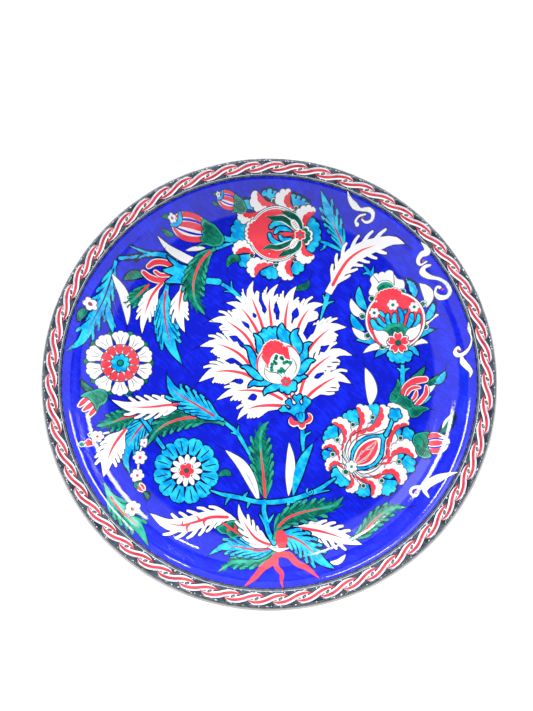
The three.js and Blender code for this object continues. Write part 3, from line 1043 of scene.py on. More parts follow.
half_flower = np.vstack([lobes([(24.4, 107.4), (28, 105.2), (29.6, 101), (28.2, 97.4), (25, 95.2)], 0.4,
    centre=(24, 101)), [(24.4, 100)]])
top.reserve(half_flower, 28, 0.4)
top.fill((half_flower - [25.6, 101]) * 0.84 + [25.0, 101], green, 30)
blossom(top, (21.7, 101.9), 3.7, 6, red, 32, edge=0.5, edge_ink=white, heart=green)
for x, y in ((0, 88.3), (4.8, 84.4)):
    top.fill(oval((x, y), 1.0, 1.0), white, 20)
top.done()

# ----------------------------------------
# Right pomegranate. A red ball with small white flowers and turquoise stripes over a green cup,
# a red heart-petalled flower under it, a white crown above, and pointed leaves all round.
# ----------------------------------------
pome = Painting("right_pomegranate")
around = (
    ((67.7, 48), (62.8, 65), 6.2, 0.14, turquoise, 4), ((67.5, 44), (57, 56.2), 6.6, 0.22, white, 4),
    ((66, 33.5), (56.8, 45.4), 5.6, 0.14, turquoise, 5),
    ((70, 28), (57.4, 35.6), 5.6, 0.12, white, 3), ((74, 23.6), (60, 26.8), 4.6, -0.12, turquoise, 3),
    ((81, 21.6), (64.8, 17.8), 5.0, -0.16, white, 0),
    ((84.6, 21), (72.8, 14.8), 4.6, -0.14, turquoise, 4),
    ((100.6, 56), (95, 69.4), 5.4, -0.14, turquoise, 4), ((108.4, 49), (103.6, 65.4), 6.4, -0.2, white, 0),
    ((107, 40), (112.9, 52), 4.8, -0.12, turquoise, 3), ((107, 34.6), (116, 43), 6.0, 0.3, white, 3),
    ((101, 27), (113.8, 33.6), 4.4, 0.14, turquoise, 4),
    ((97, 20.6), (109.4, 24.6), 5.0, 0.3, white, 2), ((94, 21.6), (103, 15.8), 4.4, 0.16, turquoise, 4),
)


def plain(work, root, tip, width, bend, ink, level, whisker=0.0, edge=None):
    """A plain pointed leaf bent to one side, with a hair line at its tip."""
    root, tip = np.array(root, float), np.array(tip, float)
    side = np.array([-(tip - root)[1], (tip - root)[0]]) * bend
    points = [root, root * 0.62 + tip * 0.38 + side * 0.9, root * 0.25 + tip * 0.75 + side * 0.6, tip]
    contour = edge or (0.5 if ink is white else 1.0)
    if whisker:
        hair(work, Spine(points), whisker if bend < 0 else -whisker, navy, level)
    work.shape(blade(points, width, 0.45), ink, level, contour, slate if ink is white else navy)


for number, (root, tip, width, bend, ink, whisker) in enumerate(around):
    plain(pome, root, tip, width * 0.92, bend, ink, 2 + 2 * (number % 2), whisker)
for place in ((71.4, 56.2), (92.9, 61), (106.3, 51.5), (64.6, 43.4), (68, 30), (78, 22), (107.7, 35.6),
        (98, 24.3)):
    capped_ball(pome, place, 1.9, 6)
left_crown = [(73.6, 73.4), (70.6, 70), (71.6, 66), (69.6, 60), (74, 56), (77, 62), (77.4, 67.3)]
right_crown = [(86.4, 73.6), (89.3, 70), (93.4, 68.2), (93.6, 62), (90, 60), (86, 63), (85.4, 69)]
for outline in (left_crown, right_crown):
    pome.reserve(smooth(outline, True), 4)
crown_top = lobes([(72.9, 73), (76.6, 72.6), (81, 74), (86.6, 73.6)], 0.42, centre=(80, 60))
pome.reserve(np.vstack([crown_top, [(87, 66), (83, 62), (76, 62), (77, 68)]]), 6)
pome.brush([(76, 64.4), (79.6, 66.6), (83.6, 66.2), (87, 62.6)], [4.6, 4.6, 4.6, 3.6], white, 8)
pome.line(smooth([(75.8, 67.4), (79.3, 69.2), (83.6, 68.8), (87.6, 65.4)]), 0.4, slate, 9)
pome.brush([(76.2, 63.8), (79.6, 66), (83.6, 65.6), (87, 62)], [2.6, 4.0, 4.0, 2.6], mint, 9.5)
pome.brush([(77, 62.4), (79.8, 64.4), (83.2, 64.2), (86, 61.4)], [2.6, 3.4, 3.4, 2.6], green, 11)
ball_centre = (87.2, 40.8)
for grow, ink, level in ((1.4, slate, 9), (0.8, white, 12), (-0.4, red, 13)):
    pome.fill(oval(ball_centre, 39.4 + 2 * grow, 39 + 2 * grow, steps=80), ink, level)
top_scallops = [(74, 54.4), (75, 57.2), (77, 60), (79.6, 61.6), (82.2, 62.3), (84.9, 62.8), (87.6, 62.6),
    (90, 61.6), (92, 59.6)]
hood = np.vstack([lobes(top_scallops, 0.34, centre=(86, 45)), [(90, 50), (80, 50)]])
for grow, ink, level in ((1.06, slate, 9), (1.035, white, 12)):
    pome.fill(scaled(hood, [86, 48], grow), ink, level)
pome.fill(hood, red, 14)
pome.fill(oval((74.6, 54.2), 1.6, 1.0, 0.8), white, 15)
stripes = (
    ((71.6, 40), (74, 35.6), (81, 33.6), 3.4), ((75.4, 41.8), (78.4, 38), (84, 35), 2.4),
    ((77.2, 46.4), (78.6, 44.6), (80.4, 43), 2.2),
    ((82.4, 44.6), (81.9, 41), (84.6, 35.6), 2.3), ((87.2, 44.6), (86.6, 41), (88.4, 35.4), 3.0),
    ((90.6, 48.2), (92, 43), (91.4, 36.4), 2.4),
    ((94.8, 47.6), (94.4, 46.6), (93.6, 45), 1.8), ((98.8, 44.4), (98, 40), (95.2, 34.6), 3.0),
    ((103.4, 44), (103, 40), (99.8, 36.4), 2.2),
)
for number, (upper, middle, lower, width) in enumerate(stripes):
    band = tapered(smooth([upper, middle, lower]), np.array([0.9, 1.2, 1.05, 0.5]) * width)
    pome.shape(band, turquoise, 14 + 2 * (number % 2), edge=0.7)
cup_knots = [(79.6, 33), (81.4, 35.4), (83.8, 36.8), (86.4, 37.6), (89, 37.7), (91.6, 37), (93.8, 35.8),
    (95.4, 33.6)]
pome.shape(np.vstack([lobes(cup_knots, 0.45, centre=(87.5, 30)), [(93, 27), (88, 24), (82, 27)]]), mint, 18,
    edge=0.4, edge_ink=green)
pome.fill(smooth([(81.4, 32.4), (84, 35), (88, 36.2), (92, 35), (93.8, 32.4), (88, 26)], True), green, 20)
for outline in (
    [(72.2, 34), (75, 33.2), (79.6, 33), (82.4, 30.6), (82.6, 26), (80.6, 22.6), (77, 24.4), (74, 28.4)],
    [(104.4, 38), (101, 36), (96.6, 34.4), (94.4, 31.4), (94.6, 28), (97, 26.6), (101.6, 29), (104, 33)],
):
    pome.reserve(smooth(outline, True), 21, 0.4)
pome.brush([(71, 32.5), (73.6, 27), (77.6, 23)], [0.5, 2.2, 0.4], red, 23)
for place, radius in (((72.9, 46), 3.6), ((86, 51.7), 3.9), ((100.5, 49.9), 3.5)):
    blossom(pome, place, radius, 6, white, 18, edge=0.35, edge_ink=crimson, heart=green, turn=0.5)
    pome.fill(oval(place, 2.2, 2.2), green, 22)
skirt = lobes([(83, 19), (82.6, 14.6), (86.6, 12.4), (90, 11.6), (93.6, 12.6), (97.6, 15), (96, 19)], 0.42,
    centre=(89.4, 20))
pome.shape(np.vstack([skirt, [(90, 24)]]), turquoise, 6, edge=1.05)
for step in range(5):
    angle = math.radians(90 + 72 * step)
    middle = np.array(beside((89, 24.8), 4.1, angle))
    across, out = np.array([-math.sin(angle), math.cos(angle)]), np.array([math.cos(angle), math.sin(angle)])
    heart = smooth([middle - out * 3.4, middle + across * 2.6 + out * 0.6,
        middle + across * 1.6 + out * 2.9, middle + out * 2.0, middle - across * 1.6 + out * 2.9,
        middle - across * 2.6 + out * 0.6], True, 0.4)
    pome.line(heart, 2.4, slate, 24, closed=True)
    pome.fill(scaled(heart, middle, 1.28), white, 25)
    pome.fill(heart, red, 26)
pome.shape(oval((89, 24.8), 3.8, 3.8), dark_green, 27, edge=0.3, edge_ink=slate)


def stem(work, path, widths, level, shoots=(), ink=turquoise, edge=0.9):
    """A turquoise stem with side shoots that end in a thin hook."""
    for path_points, size in [(path, widths)] + [(shoot, [2.0, 1.6, 0.4]) for shoot in shoots]:
        work.shape(tapered(smooth(path_points), size), ink, level, edge)


stem(pome, [(91.4, 13), (91.6, 6), (91.2, 0), (91.2, -6)], [1.6, 2.6, 3.0, 3.2], 1,
    ([(91, 3.6), (90.4, 5.4), (87.8, 7.2)], [(92, 3.6), (93, 5.6), (96.4, 7.2)]))
pome.done()

# ----------------------------------------
# Upper right: a long white saz leaf with a red vein, its stem, the turquoise feather beside the
# top pomegranate, and the four white cloud scrolls that follow the rim.
# ----------------------------------------
upper = Painting("upper_right_leaves")
fingered(
    upper, [(41, 60), (45, 67), (50.5, 77), (58, 86.6), (67, 91.6), (77, 94), (85, 94.4), (92.6, 91)], 18,
    (8, 8), white, 3, belly=0.5,
    root=0.45, first=0.14, last=0.78, reach=0.085, finger=2.4, vein=(red, 0.1, 0.72, 2.3), whisker=-7,
)
stem(upper, [(41, 59.4), (38.4, 51), (35.4, 41)], [3.0, 2.4, 0.6], 1,
    ([(39.4, 53), (38.6, 56), (37.4, 58.6)], [(38, 50), (41, 53), (45, 54.2)]))
stem(upper, [(72.4, 72), (70.8, 74.4), (67, 79)], [2.6, 2.2, 1.4], 1,
    ([(71.6, 73), (72.4, 76), (73, 79)], [(71.4, 73.4), (69, 74.6), (65.6, 74)]))
fingered(
    upper, [(52, 91), (51, 96), (47, 105), (42, 115), (35, 128)], 10, (6, 4), turquoise, 2, belly=0.45,
    root=0.3, first=0.1, last=0.72,
    reach=0.14, finger=1.9, edge=0.6, vein=(crimson, 0.1, 0.55, 1.2), slit_ink=navy,
)
stem(upper, [(35, 98), (42, 95.4), (50.6, 91)], [1.2, 2.4, 2.0], 1, ([(40, 95.8), (38, 92.4), (36, 91)],))
upper.shape(blade([(18.6, 61.8), (22, 64), (25.6, 65), (28, 69.4)], 4.6, 0.45), green, 4, edge=0.5)
upper.fill(blade([(19.6, 63), (22.4, 64.6), (26, 66)], 1.8, 0.45), dark_green, 6)
hair(upper, Spine([(25.6, 65), (28, 69.4)]), 7, navy, 4)
upper.done()

scrolls = Painting("cloud_scrolls")


def scroll(path, widths, level=3, ends=()):
    """A white cloud scroll: a swelling line with a dark edge, and round ends."""
    scrolls.reserve(tapered(smooth(path, step=0.5), widths), level, 0.45)
    for centre, radius in ends:
        scrolls.reserve(oval(centre, 2 * radius, 2 * radius), level, 0.45)


scroll([(53.3, 126), (54.6, 122), (57.5, 118.4), (62, 115.2), (68, 114), (70.8, 111.5), (70.4, 108.4),
    (67, 107.6), (64, 109.6)], [0.3, 2.4, 3.6, 1.4, 2.6, 2.2, 1.6, 0.8])
scroll([(61, 107), (60, 109.4), (62, 111.6), (66, 112)], [1.8, 1.4, 1.2, 0.8], ends=(((61.2, 107.2), 1.2),))
scroll([(106.5, 77.6), (103.3, 76.6), (101.6, 79.4), (103.4, 82.6), (106.6, 83.2), (105.6, 86.6),
    (102.6, 90)], [0.9, 1.2, 2.4, 3.6, 4.0, 2.2, 0.3])
scroll([(108.8, 75), (105.6, 74.6), (104.8, 72.2), (108.7, 68.4), (115.3, 65), (119.6, 60.7), (121.2, 56),
    (119.5, 53.4), (116, 54), (113.2, 57.6), (114, 61), (115.6, 60)],
    [1.2, 3.4, 2.6, 1.6, 1.6, 2.0, 2.2, 3.0, 1.2, 1.4])
scroll([(132.4, 34.6), (132.6, 31.6), (133, 28.7), (134, 23.3), (132.7, 18), (129.6, 14.4), (127, 14),
    (125.3, 16.6), (126.8, 19.4), (128, 17)], [0.4, 2.2, 0.7, 0.9, 1.2, 2.2, 2.6, 1.6, 0.8])
scroll([(128.6, 13), (129.4, 9), (131.6, 5), (133.2, 1.6), (132.6, -1.6)], [1.0, 3.0, 3.0, 2.0, 0.3])
scroll([(121, -64.2), (116, -65.4), (110.6, -67.6), (105, -71), (101.6, -75.6), (103, -80)],
    [0.3, 2.4, 4.6, 4.4, 3.0, 0.8])
scroll([(101.8, -74.6), (98.6, -73.4), (94.6, -74.4), (93.4, -77.4), (95.8, -79.4), (98, -77.6)],
    [2.2, 1.8, 1.4, 1.4, 0.7])
for place in ((104.6, 78.6), (127.7, 16.8), (96.2, -76.8), (117, 58.6), (64.4, 110.4)):
    scrolls.fill(oval(place, 1.3, 1.3), crimson, 6)
scrolls.done()

# ----------------------------------------
# Swirl flower, lower right. Ten frilled white petals with red edges and one plain lobe spin out
# of a small white flower, round a turquoise drop that holds a red leaf. Turquoise lobes between.
# ----------------------------------------
swirl = Painting("swirl_flower")
swirl_lobes = (
    ([(58.4, -31), (50.3, -27), (53.7, -23.3), (57.7, -22.3), (59.9, -22.6), (60, -27)], 2, 4),
    ([(70, -27.4), (67.4, -20.4), (71, -18), (74.6, -20.6), (74, -25)], 2, 3),
    ([(89, -40.4), (91, -35.3), (94.3, -34.1), (97.2, -37.3), (96.7, -42.9), (91, -42.6)], 2, 4),
    ([(88, -57.6), (91, -54), (97, -55.1), (96.5, -60), (93, -64.2), (90, -61.4)], 2, 4),
    ([(75.6, -68.4), (83.7, -69.1), (84.6, -72.7), (81.7, -76.2), (77, -78.2), (74.6, -74.7)], 2, 4),
    ([(63, -71.6), (58, -75), (60.3, -78.9), (63.7, -79.5), (67.4, -77.3)], 2, 4),
    ([(51.6, -63), (46, -61.4), (42.6, -63.4), (43.6, -68), (47, -71.6), (51, -72.4), (53.4, -70)], 2, 5),
    ([(44, -50.6), (37.8, -49), (36.2, -52.5), (38.3, -55.6), (43, -54)], 2, 3),
    ([(46.6, -42), (46, -34.2), (42, -33.1), (38, -37.3), (37.4, -42.7)], 2, 4),
)
for outline, base, count in swirl_lobes:
    inward = (np.array(outline[0]) + outline[-1]) * 0.36 + np.array([66, -50]) * 0.28
    lobed(swirl, [tuple(inward)] + outline, turquoise, 2, count, base=base + 1)
swirl_petals = (
    ([(55, -39.3), (61, -32.7), (61, -25.3), (59.3, -19.7)],
    [(62.3, -18.7), (67, -20), (69, -24), (67.7, -28.7), (63.7, -33.3)]),
    ([(60.3, -37.3), (69, -32.7), (73, -28), (75, -22.7), (75.3, -19.3)],
    [(77.7, -18.7), (80, -20), (82.3, -22.7), (81.9, -26.7), (80.3, -31.3), (76, -35.4), (68, -37.4)]),
    ([(79.7, -53.3), (81.7, -45.3), (84.3, -38), (89, -33.3), (94.3, -32)],
    [(95, -30), (91.7, -28.4), (87.7, -28.4), (83.7, -30.4), (81.7, -34), (79, -38.3), (78, -44)]),
    ([(79.7, -57.3), (83.7, -52.7), (90.3, -50.7), (97, -54)],
    [(99.2, -53), (99.2, -47.3), (96.3, -43.6), (91.7, -42.4), (87, -43.4), (83, -48)]),
    ([(71.7, -67.3), (77.7, -64.7), (83, -65.3), (86.7, -71.3)],
    [(89, -71.3), (91.2, -66.7), (90.5, -61.6), (87, -58.2), (83, -57.8), (77, -61.4)]),
    ([(57, -66.7), (62.3, -70), (67.7, -72), (68.3, -79.3)],
    [(71, -80), (74.5, -76), (74.5, -71.3), (70, -68), (64, -66.6)]),
    ([(53.7, -64.7), (55, -68.7), (53.7, -72), (51.3, -74.7)],
    [(51.9, -76), (55.4, -77), (59.4, -74.2), (58.4, -69.6)]),
    ([(49.6, -61), (45.7, -58.7), (42.3, -59.3), (40.3, -62.7)],
    [(38.8, -61.3), (37.8, -58), (40.3, -54.4), (44.3, -52.9), (48, -55.4)]),
    ([(46.9, -56), (45, -50.7), (40.3, -46.7), (36.3, -48.3)],
    [(37, -45.3), (39.4, -42.5), (43, -41.8), (46.6, -45), (48.8, -50)]),
    ([(47.7, -49), (50.3, -41.3), (48.3, -34.7), (42.7, -30.7)],
    [(44.3, -28.4), (47.7, -27.7), (52.3, -28.4), (54.6, -32.7), (53, -39), (51.4, -45)]),
)
body = [
    (50, -36), (58, -32.6), (66, -31), (76, -32), (84, -36), (87, -43), (86.6, -50), (86, -56), (82, -62),
    (75, -67.4),
    (66, -70.6), (58, -71), (50, -66), (45.6, -60), (44, -52), (45.4, -43),
]
swirl.shape(scaled(smooth(body, True), [66, -50], 1.2), turquoise, 0, edge=0.6)
swirl.reserve(smooth(body, True), 4)
for edge, scallops in swirl_petals:
    frilled(swirl, edge, scallops, 6)
    ahead = np.array(edge[0]) * 0.66 + np.array([55.2, -59.9]) * 0.34
    tail = smooth([(np.array(edge[0]) + edge[1]) / 2, edge[0], ahead])
    if np.linalg.norm(np.array(edge[0]) - [55.2, -59.9]) > 16:
        swirl.fill(tapered(tail, [1.8, 1.7, 0.1]), red, 10)
cloud = np.vstack([lobes([(81, -19.6), (83.2, -17.2), (86.6, -16.6), (90.2, -17.8), (93.4, -21),
    (94.2, -25), (92.6, -29)], 0.42, centre=(85, -27)), [(89, -27.4), (87, -22.6), (82.4, -22)]])
swirl.reserve(cloud, 5)
swirl.fill(smooth([(53.4, -58), (49.8, -50), (50.4, -42), (56, -36), (66, -34.6), (78, -36), (82, -41),
    (81.6, -50), (77, -60), (70, -66), (60, -66)], True), white, 7)
throats = (
    [(54.6, -58.6), (51.4, -51), (53, -43.6), (58, -37.6), (66, -34.4)],
    [(55, -58.2), (53, -51), (55.6, -44), (61.6, -39.2), (71, -37.4), (78.6, -34.6)],
    [(53.4, -59), (49.6, -53), (49.4, -47)], [(56.8, -61.8), (63, -64.8), (71, -62.4), (77.4, -56.6)],
    [(56.8, -62.4), (62, -66.6), (68, -67), (74, -65)], [(56, -62.8), (59.6, -67.4), (64.6, -69.8)],
    [(55, -63), (56.4, -66.6), (58.6, -69)],
    [(57.4, -61.6), (66, -62.4), (74, -58.4), (78.6, -52), (79.6, -44), (82, -37)],
    [(53, -60), (49.6, -58.4), (46, -57.2)],
)
for path in throats:
    swirl.line(smooth(path), 0.6, slate, 11, ends=0.55)
for start, path in ((0, throats[0]), (1, throats[4])):
    swirl.line(smooth(np.array(path) + (0.8 if start else -0.9)), 0.35, grey, 11, ends=0.6)
drop_band = [(80.4, -33.6), (77.6, -37.6), (73.6, -38.6), (66.3, -39.6), (59.7, -43.6), (56, -49),
    (55, -56), (57, -61.4), (64.6, -61.4), (71.7, -58.4), (76.4, -52), (77.4, -44.6), (78.6, -40)]
swirl.shape(smooth(drop_band, True), turquoise, 12, edge=0.8)
inner_drop = [(75, -41), (68, -41.4), (61.6, -45.4), (57.6, -51.4), (56.8, -58.6), (62.6, -59.6),
    (69.6, -57), (73.8, -51), (75, -45)]
swirl.shape(smooth(inner_drop, True), white, 14, edge=0.7)
swirl.fill(smooth([(72.6, -42.2), (66.6, -43.4), (61.2, -47.4), (58.4, -52.6), (57.4, -57.8), (62, -58.6),
    (67.8, -56.2), (72, -50.8), (73.4, -45.6)], True), red, 16)
for path, width in (
    ([(57.6, -57.6), (62, -51), (67.4, -46.6), (72.4, -42.6)], 0.9),
    ([(58, -58), (65, -53.6), (70, -48), (72.6, -43)], 0.8),
    ([(58, -58.2), (64, -56), (67, -53), (69, -50)], 0.6),
    ([(60, -55), (62.6, -49.6), (68, -48), (71, -46)], 0.6),
):
    swirl.line(smooth(path), width, white, 17, ends=0.5)
    swirl.line(smooth(np.array(path) + 0.35), 0.3, slate, 18, ends=0.6)
stem(swirl, [(79, -38.6), (81.6, -33.6), (83.8, -28)], [2.6, 1.8, 2.0], 14)
blossom(swirl, (85.6, -24.8), 4.4, 5, turquoise, 15, edge=0.7, turn=0.3)
for centre in ((56.7, -31.6), (70.3, -26.7), (88.8, -40.7), (87.3, -56.7), (75.3, -69.3), (63, -72.7),
        (45.9, -42), (42.7, -51.7)):
    capped_ball(swirl, centre, 1.5, 12)
capped_ball(swirl, (51.3, -63.4), 1.8, 12, dark_green)
blossom(swirl, (55.2, -59.9), 4.0, 6, white, 19, edge=0.4, edge_ink=slate)
swirl.fill(oval((55.2, -59.9), 2.0, 2.0), green, 21)
swirl.done()

# ----------------------------------------
# Buds on the right: an opening rosebud of red strokes with white edges in green sepals, a round
# striped bud under it, and a lone white leaf over the swirl flower.
# ----------------------------------------
buds = Painting("right_buds")


def stroke(work, path, width, level, taper=0.55, ink=red, halo=0.6):
    """A red stroke with a white edge and a dark contour."""
    line = smooth(path, step=0.5)
    size = np.array([taper, 1, 1, 1, taper])
    work.reserve(tapered(line, width * size + 2 * halo), level)
    work.fill(tapered(line, width * size), ink, level + 3)


def sepal(work, outline, centre, grow, level, edge=0.5):
    """A green sepal or cup: thin green with a darker heart, which is the outline made smaller."""
    curve = smooth(outline, True)
    work.shape(curve, mint, level, edge)
    work.fill(scaled(curve, centre, grow), green, level + 2)


plain(buds, (68.7, -18.4), (65.8, 7.4), 7.6, -0.1, white, 2, -7)
for root, tip, width, bend, ink, whisker in (
    ((97.3, 0.7), (106.9, 8.4), 3.6, -0.16, green, 4), ((107.5, -5), (114.9, 1.6), 4.0, -0.1, green, 0),
    ((112.6, -4), (119.6, 4.4), 4.2, -0.12, turquoise, 5),
    ((106.6, -11.4), (113.2, -4.9), 4.0, 0.1, white, 0),
    ((102.6, -18.4), (110.6, -12.3), 3.6, 0.1, turquoise, -6),
):
    plain(buds, root, tip, width, bend, ink, 2, whisker)
stroke(buds, [(91, -10.4), (94.4, -5.4), (99.6, -1.8), (106.8, -0.6)], 4.2, 5, taper=0.8)
stroke(buds, [(107.4, -5.6), (107, -10.4), (103.6, -15), (99.6, -18.6)], 2.8, 6)
stroke(buds, [(93.2, -11.8), (96, -7.8), (99.4, -6.2), (102.8, -6.2)], 2.1, 9)
stroke(buds, [(100.6, -9), (99.8, -12), (97.6, -15)], 2.2, 10)
for outline in (
    [(82.4, -15.8), (82.6, -11.4), (86.6, -5.6), (88, -0.4), (89.9, -6), (88.8, -11.4), (86, -15.6)],
    [(94.6, -21.6), (98, -19.4), (103.6, -19.2), (108.6, -21), (104.6, -23), (101, -26), (96.6, -26.6),
    (95, -24)],
    [(85.6, -16.6), (88.6, -12.2), (90.6, -11.4), (92, -12.6), (93.8, -12.4), (95.2, -14.4), (97, -14.6),
    (97.6, -17.2), (98.8, -19), (96, -21), (92, -20.4), (88.6, -17.6)],
):
    sepal(buds, outline, np.mean(outline, 0), 0.88, 13)
buds.fill(blade([(96.6, -24.6), (100.6, -22.8), (106, -21)], 2.2), dark_green, 17)
hair(buds, Spine([(104, -21), (108.6, -21)]), 4, navy, 12, bend=-0.3)
calyx_shape = [(98, -39.3), (101, -37.4), (107.9, -37), (106.2, -40), (107, -42.7), (106, -45.6),
    (107, -49), (107.8, -53.4), (103, -54.2), (99.4, -51), (98.8, -47), (97.2, -43.4)]


def striped_bud(work, centre, radius, turn, level):
    """A round bud with broad red bands and dark lines between them, over white."""
    grow = oval(centre, 2.1 * radius, 2 * radius, turn)
    work.reserve(grow, level)
    across, along = np.array([-math.sin(turn), math.cos(turn)]), np.array([math.cos(turn), math.sin(turn)])
    for step in (-1, 0, 1):
        arch = [np.array(centre) + along * radius * a + across * radius * (0.70 * step * b) for a,
            b in ((-0.86 + 0.2 * abs(step), 0.75), (0, 1.0), (0.86 - 0.2 * abs(step), 0.75))]
        work.brush(arch, [0.1, radius * 0.5, radius * 0.52, 0.1], red, level + 3)
    for step in (-1, 1):
        arch = [np.array(centre) + along * radius * a + across * radius * (0.42 * step * b) for a,
            b in ((-0.95, 0.5), (0, 1.0), (0.95, 0.5))]
        work.brush(arch, [0.4, 1.1, 1.1, 0.4], cobalt, level + 4)


striped_bud(buds, (110.8, -44.4), 7.3, 0.03, 4)
sepal(buds, calyx_shape, [102.6, -45.6], 0.90, 10, edge=0.7)
buds.brush([(101, -39.4), (104, -43), (102.6, -51)], [0.3, 1.6, 0.3], dark_green, 14)
blossom(buds, (117.4, -43.5), 2.1, 5, white, 9, edge=0.3, edge_ink=slate, heart=crimson)
plain(buds, (114.2, -38), (123.4, -24.2), 4.6, -0.08, green, 2, 5)
buds.fill(blade([(116, -34.6), (118.2, -30), (122.4, -25)], 1.6), white, 5)
hair(buds, Spine([(107, -38), (107.8, -35)]), 4, navy, 3, bend=0.4)
buds.done()

# ----------------------------------------
# Rosettes on the left: a turquoise one of twelve double petals round a white and a red flower,
# and a white one of ten triple petals with green trefoils, a red ring and a turquoise heart.
# ----------------------------------------


def rosette_petal(centre, angle, inner, outer, spread, count, swell=0.4):
    """One petal of a rosette: narrow at its root, lobed at its rim."""

    def place(radius, turn):
        return beside(centre, radius, angle + turn)

    rim = []
    for k in range(count + 1):
        reach = outer * (0.9 + 0.07 * math.cos(math.pi * (k / count * 2 - 1)))
        rim.append(place(reach, spread * (0.5 - k / count)))
    root = [place(inner, -spread * 0.22), place(inner, spread * 0.22),
        place((inner + outer) * 0.5, spread * 0.40)]
    return np.vstack([root, lobes(rim, swell, centre=centre)])


blue_rosette = Painting("turquoise_rosette")
hub = (-55.7, -62.5)
for number in range(12):
    angle = math.radians(30 * number + 12)
    blue_rosette.shape(rosette_petal(hub, angle, 8, 22.2, math.radians(30), 2, 0.30), turquoise, 3, edge=0.7)
    root, tip = (np.array(hub) + radius * np.array([math.cos(angle), math.sin(angle)]) for radius in (13, 20))
    blue_rosette.brush([root, tip], [0.5, 0.8, 0.6], navy, 6)
blue_rosette.fill(oval(hub, 21.4, 21.4, steps=48), navy, 7)
for number in range(12):
    angle = math.radians(30 * number + 27)
    spot = beside(hub, 7.4, angle)
    blue_rosette.reserve(oval(spot, 6.6, 3.4, angle, steps=18), 8, 0.3)
blue_rosette.fill(oval(hub, 10.4, 10.4), navy, 10)
blossom(blue_rosette, hub, 5.0, 5, red, 11, edge=0.6, edge_ink=white, turn=0.5)
blue_rosette.shape(oval(hub, 2.6, 2.6), dark_green, 14, edge=0.3)
blue_rosette.done()

white_rosette = Painting("white_rosette")
hub = (-102.1, 10.3)
for number in range(10):
    angle = math.radians(36 * number + 91)
    notch = angle + math.radians(18)
    spot = beside(hub, 19.2, notch)
    blossom(white_rosette, spot, 3.6, 3, green, 2, edge=0.6, turn=notch + math.pi)
for number in range(10):
    angle = math.radians(36 * number + 91)
    petal = rosette_petal(hub, angle, 9, 22.6, math.radians(33), 3, 0.36)
    white_rosette.reserve(petal, 5)
    for side in (-1, 1):
        lines = [beside(hub, r, angle + side * t) for r, t in ((13, 0.03), (17, 0.07), (19.4, 0.12))]
        white_rosette.line(smooth(lines), 0.35, grey, 8, ends=0.7)
white_rosette.fill(oval(hub, 26.4, 26.4, steps=48), slate, 9)
white_rosette.fill(oval(hub, 25.2, 25.2, steps=48), white, 10)
for number in range(12):
    angle = math.radians(30 * number + 6)
    spot = beside(hub, 9.4, angle)
    heart = np.array(
        [(-3.4, 0), (-0.6, -2.0), (2.0, -2.5), (3.5, -1.3), (2.6, 0), (3.5, 1.3), (2.0, 2.5), (-0.6, 2.0)]
    ) @ np.array([[math.cos(angle), math.sin(angle)], [-math.sin(angle), math.cos(angle)]])
    white_rosette.shape(smooth(heart + spot, True, 0.5), red, 12, edge=0.25, edge_ink=slate)
blossom(white_rosette, hub, 6.4, 8, turquoise, 14, edge=0.6, turn=0.2, swell=0.6)
white_rosette.fill(oval(hub, 5, 5), navy, 17)
white_rosette.fill(oval(hub, 3.6, 3.6), green, 18)
for path, width in (
    ([(-116, -14), (-119, -18), (-123.4, -23)], 3.0), ([(-115, -16), (-117, -21), (-120.6, -27)], 2.6),
    ([(-118, -13), (-122, -15), (-126, -20.4)], 2.6),
):
    stroke(white_rosette, path, width, 2)
bud_calyx = [(-119.8, -9.6), (-116, -8), (-111.6, -9), (-109.6, -13), (-111.4, -17.6), (-114.6, -19.4),
    (-116, -23.3), (-118.4, -18.4), (-122, -14.4), (-125.9, -14), (-121.4, -10)]
sepal(white_rosette, bud_calyx, [-115.6, -13], 0.78, 7)
plain(white_rosette, (-119, -9), (-125.7, -3), 3.6, 0.2, green, 2, 3)
white_rosette.done()

# ----------------------------------------
# Upper left: the red and turquoise lily, green, white and turquoise saz leaves hanging from it,
# two striped pomegranate buds at the top, and the feathers along the left wall.
# ----------------------------------------
lily = Painting("upper_left_lily")


def green_leaf(work, points, width, fingers, level, vein=(0.08, 0.62), vein_width=1.5, whisker=0.0, **more):
    """A saz leaf in thin green, with a darker heart, dark slits and a red vein."""
    fingered(work, points, width, fingers, mint, level, root=0.3, edge=0.5, slit_ink=dark_green,
        whisker=whisker, **more)
    spine, half = Spine(points), leaf_half(width * 0.72, more.get("belly", 0.5), 0.25)
    shares = np.linspace(0.03, 0.93, 16)
    for side in (-1, 1):
        inner = spine.at(shares, side * (0.9 + 0 * shares))
        outer = spine.at(shares, np.array([side * max(half(share), 1.2) for share in shares]))
        work.fill(np.vstack([inner, outer[::-1]]), green, level + 2.2)
    count = fingers[0] if isinstance(fingers, tuple) else fingers
    for side in (-1, 1):
        for number in range(count + 2):
            at = 0.16 + 0.66 * number / (count + 1)
            lane = spine.at(np.array([at, at + 0.05, at + 0.1]),
                side * half(at) * np.array([0.4, 0.85, 1.15]))
            work.brush(lane, [0.2, 1.0, 0.7], dark_green, level + 4)
    path = smooth(spine.at(np.linspace(vein[0], vein[1], 5)))
    work.fill(tapered(path, [vein_width, vein_width, vein_width * 0.8, vein_width * 0.5, 0.05]), red,
        level + 5)


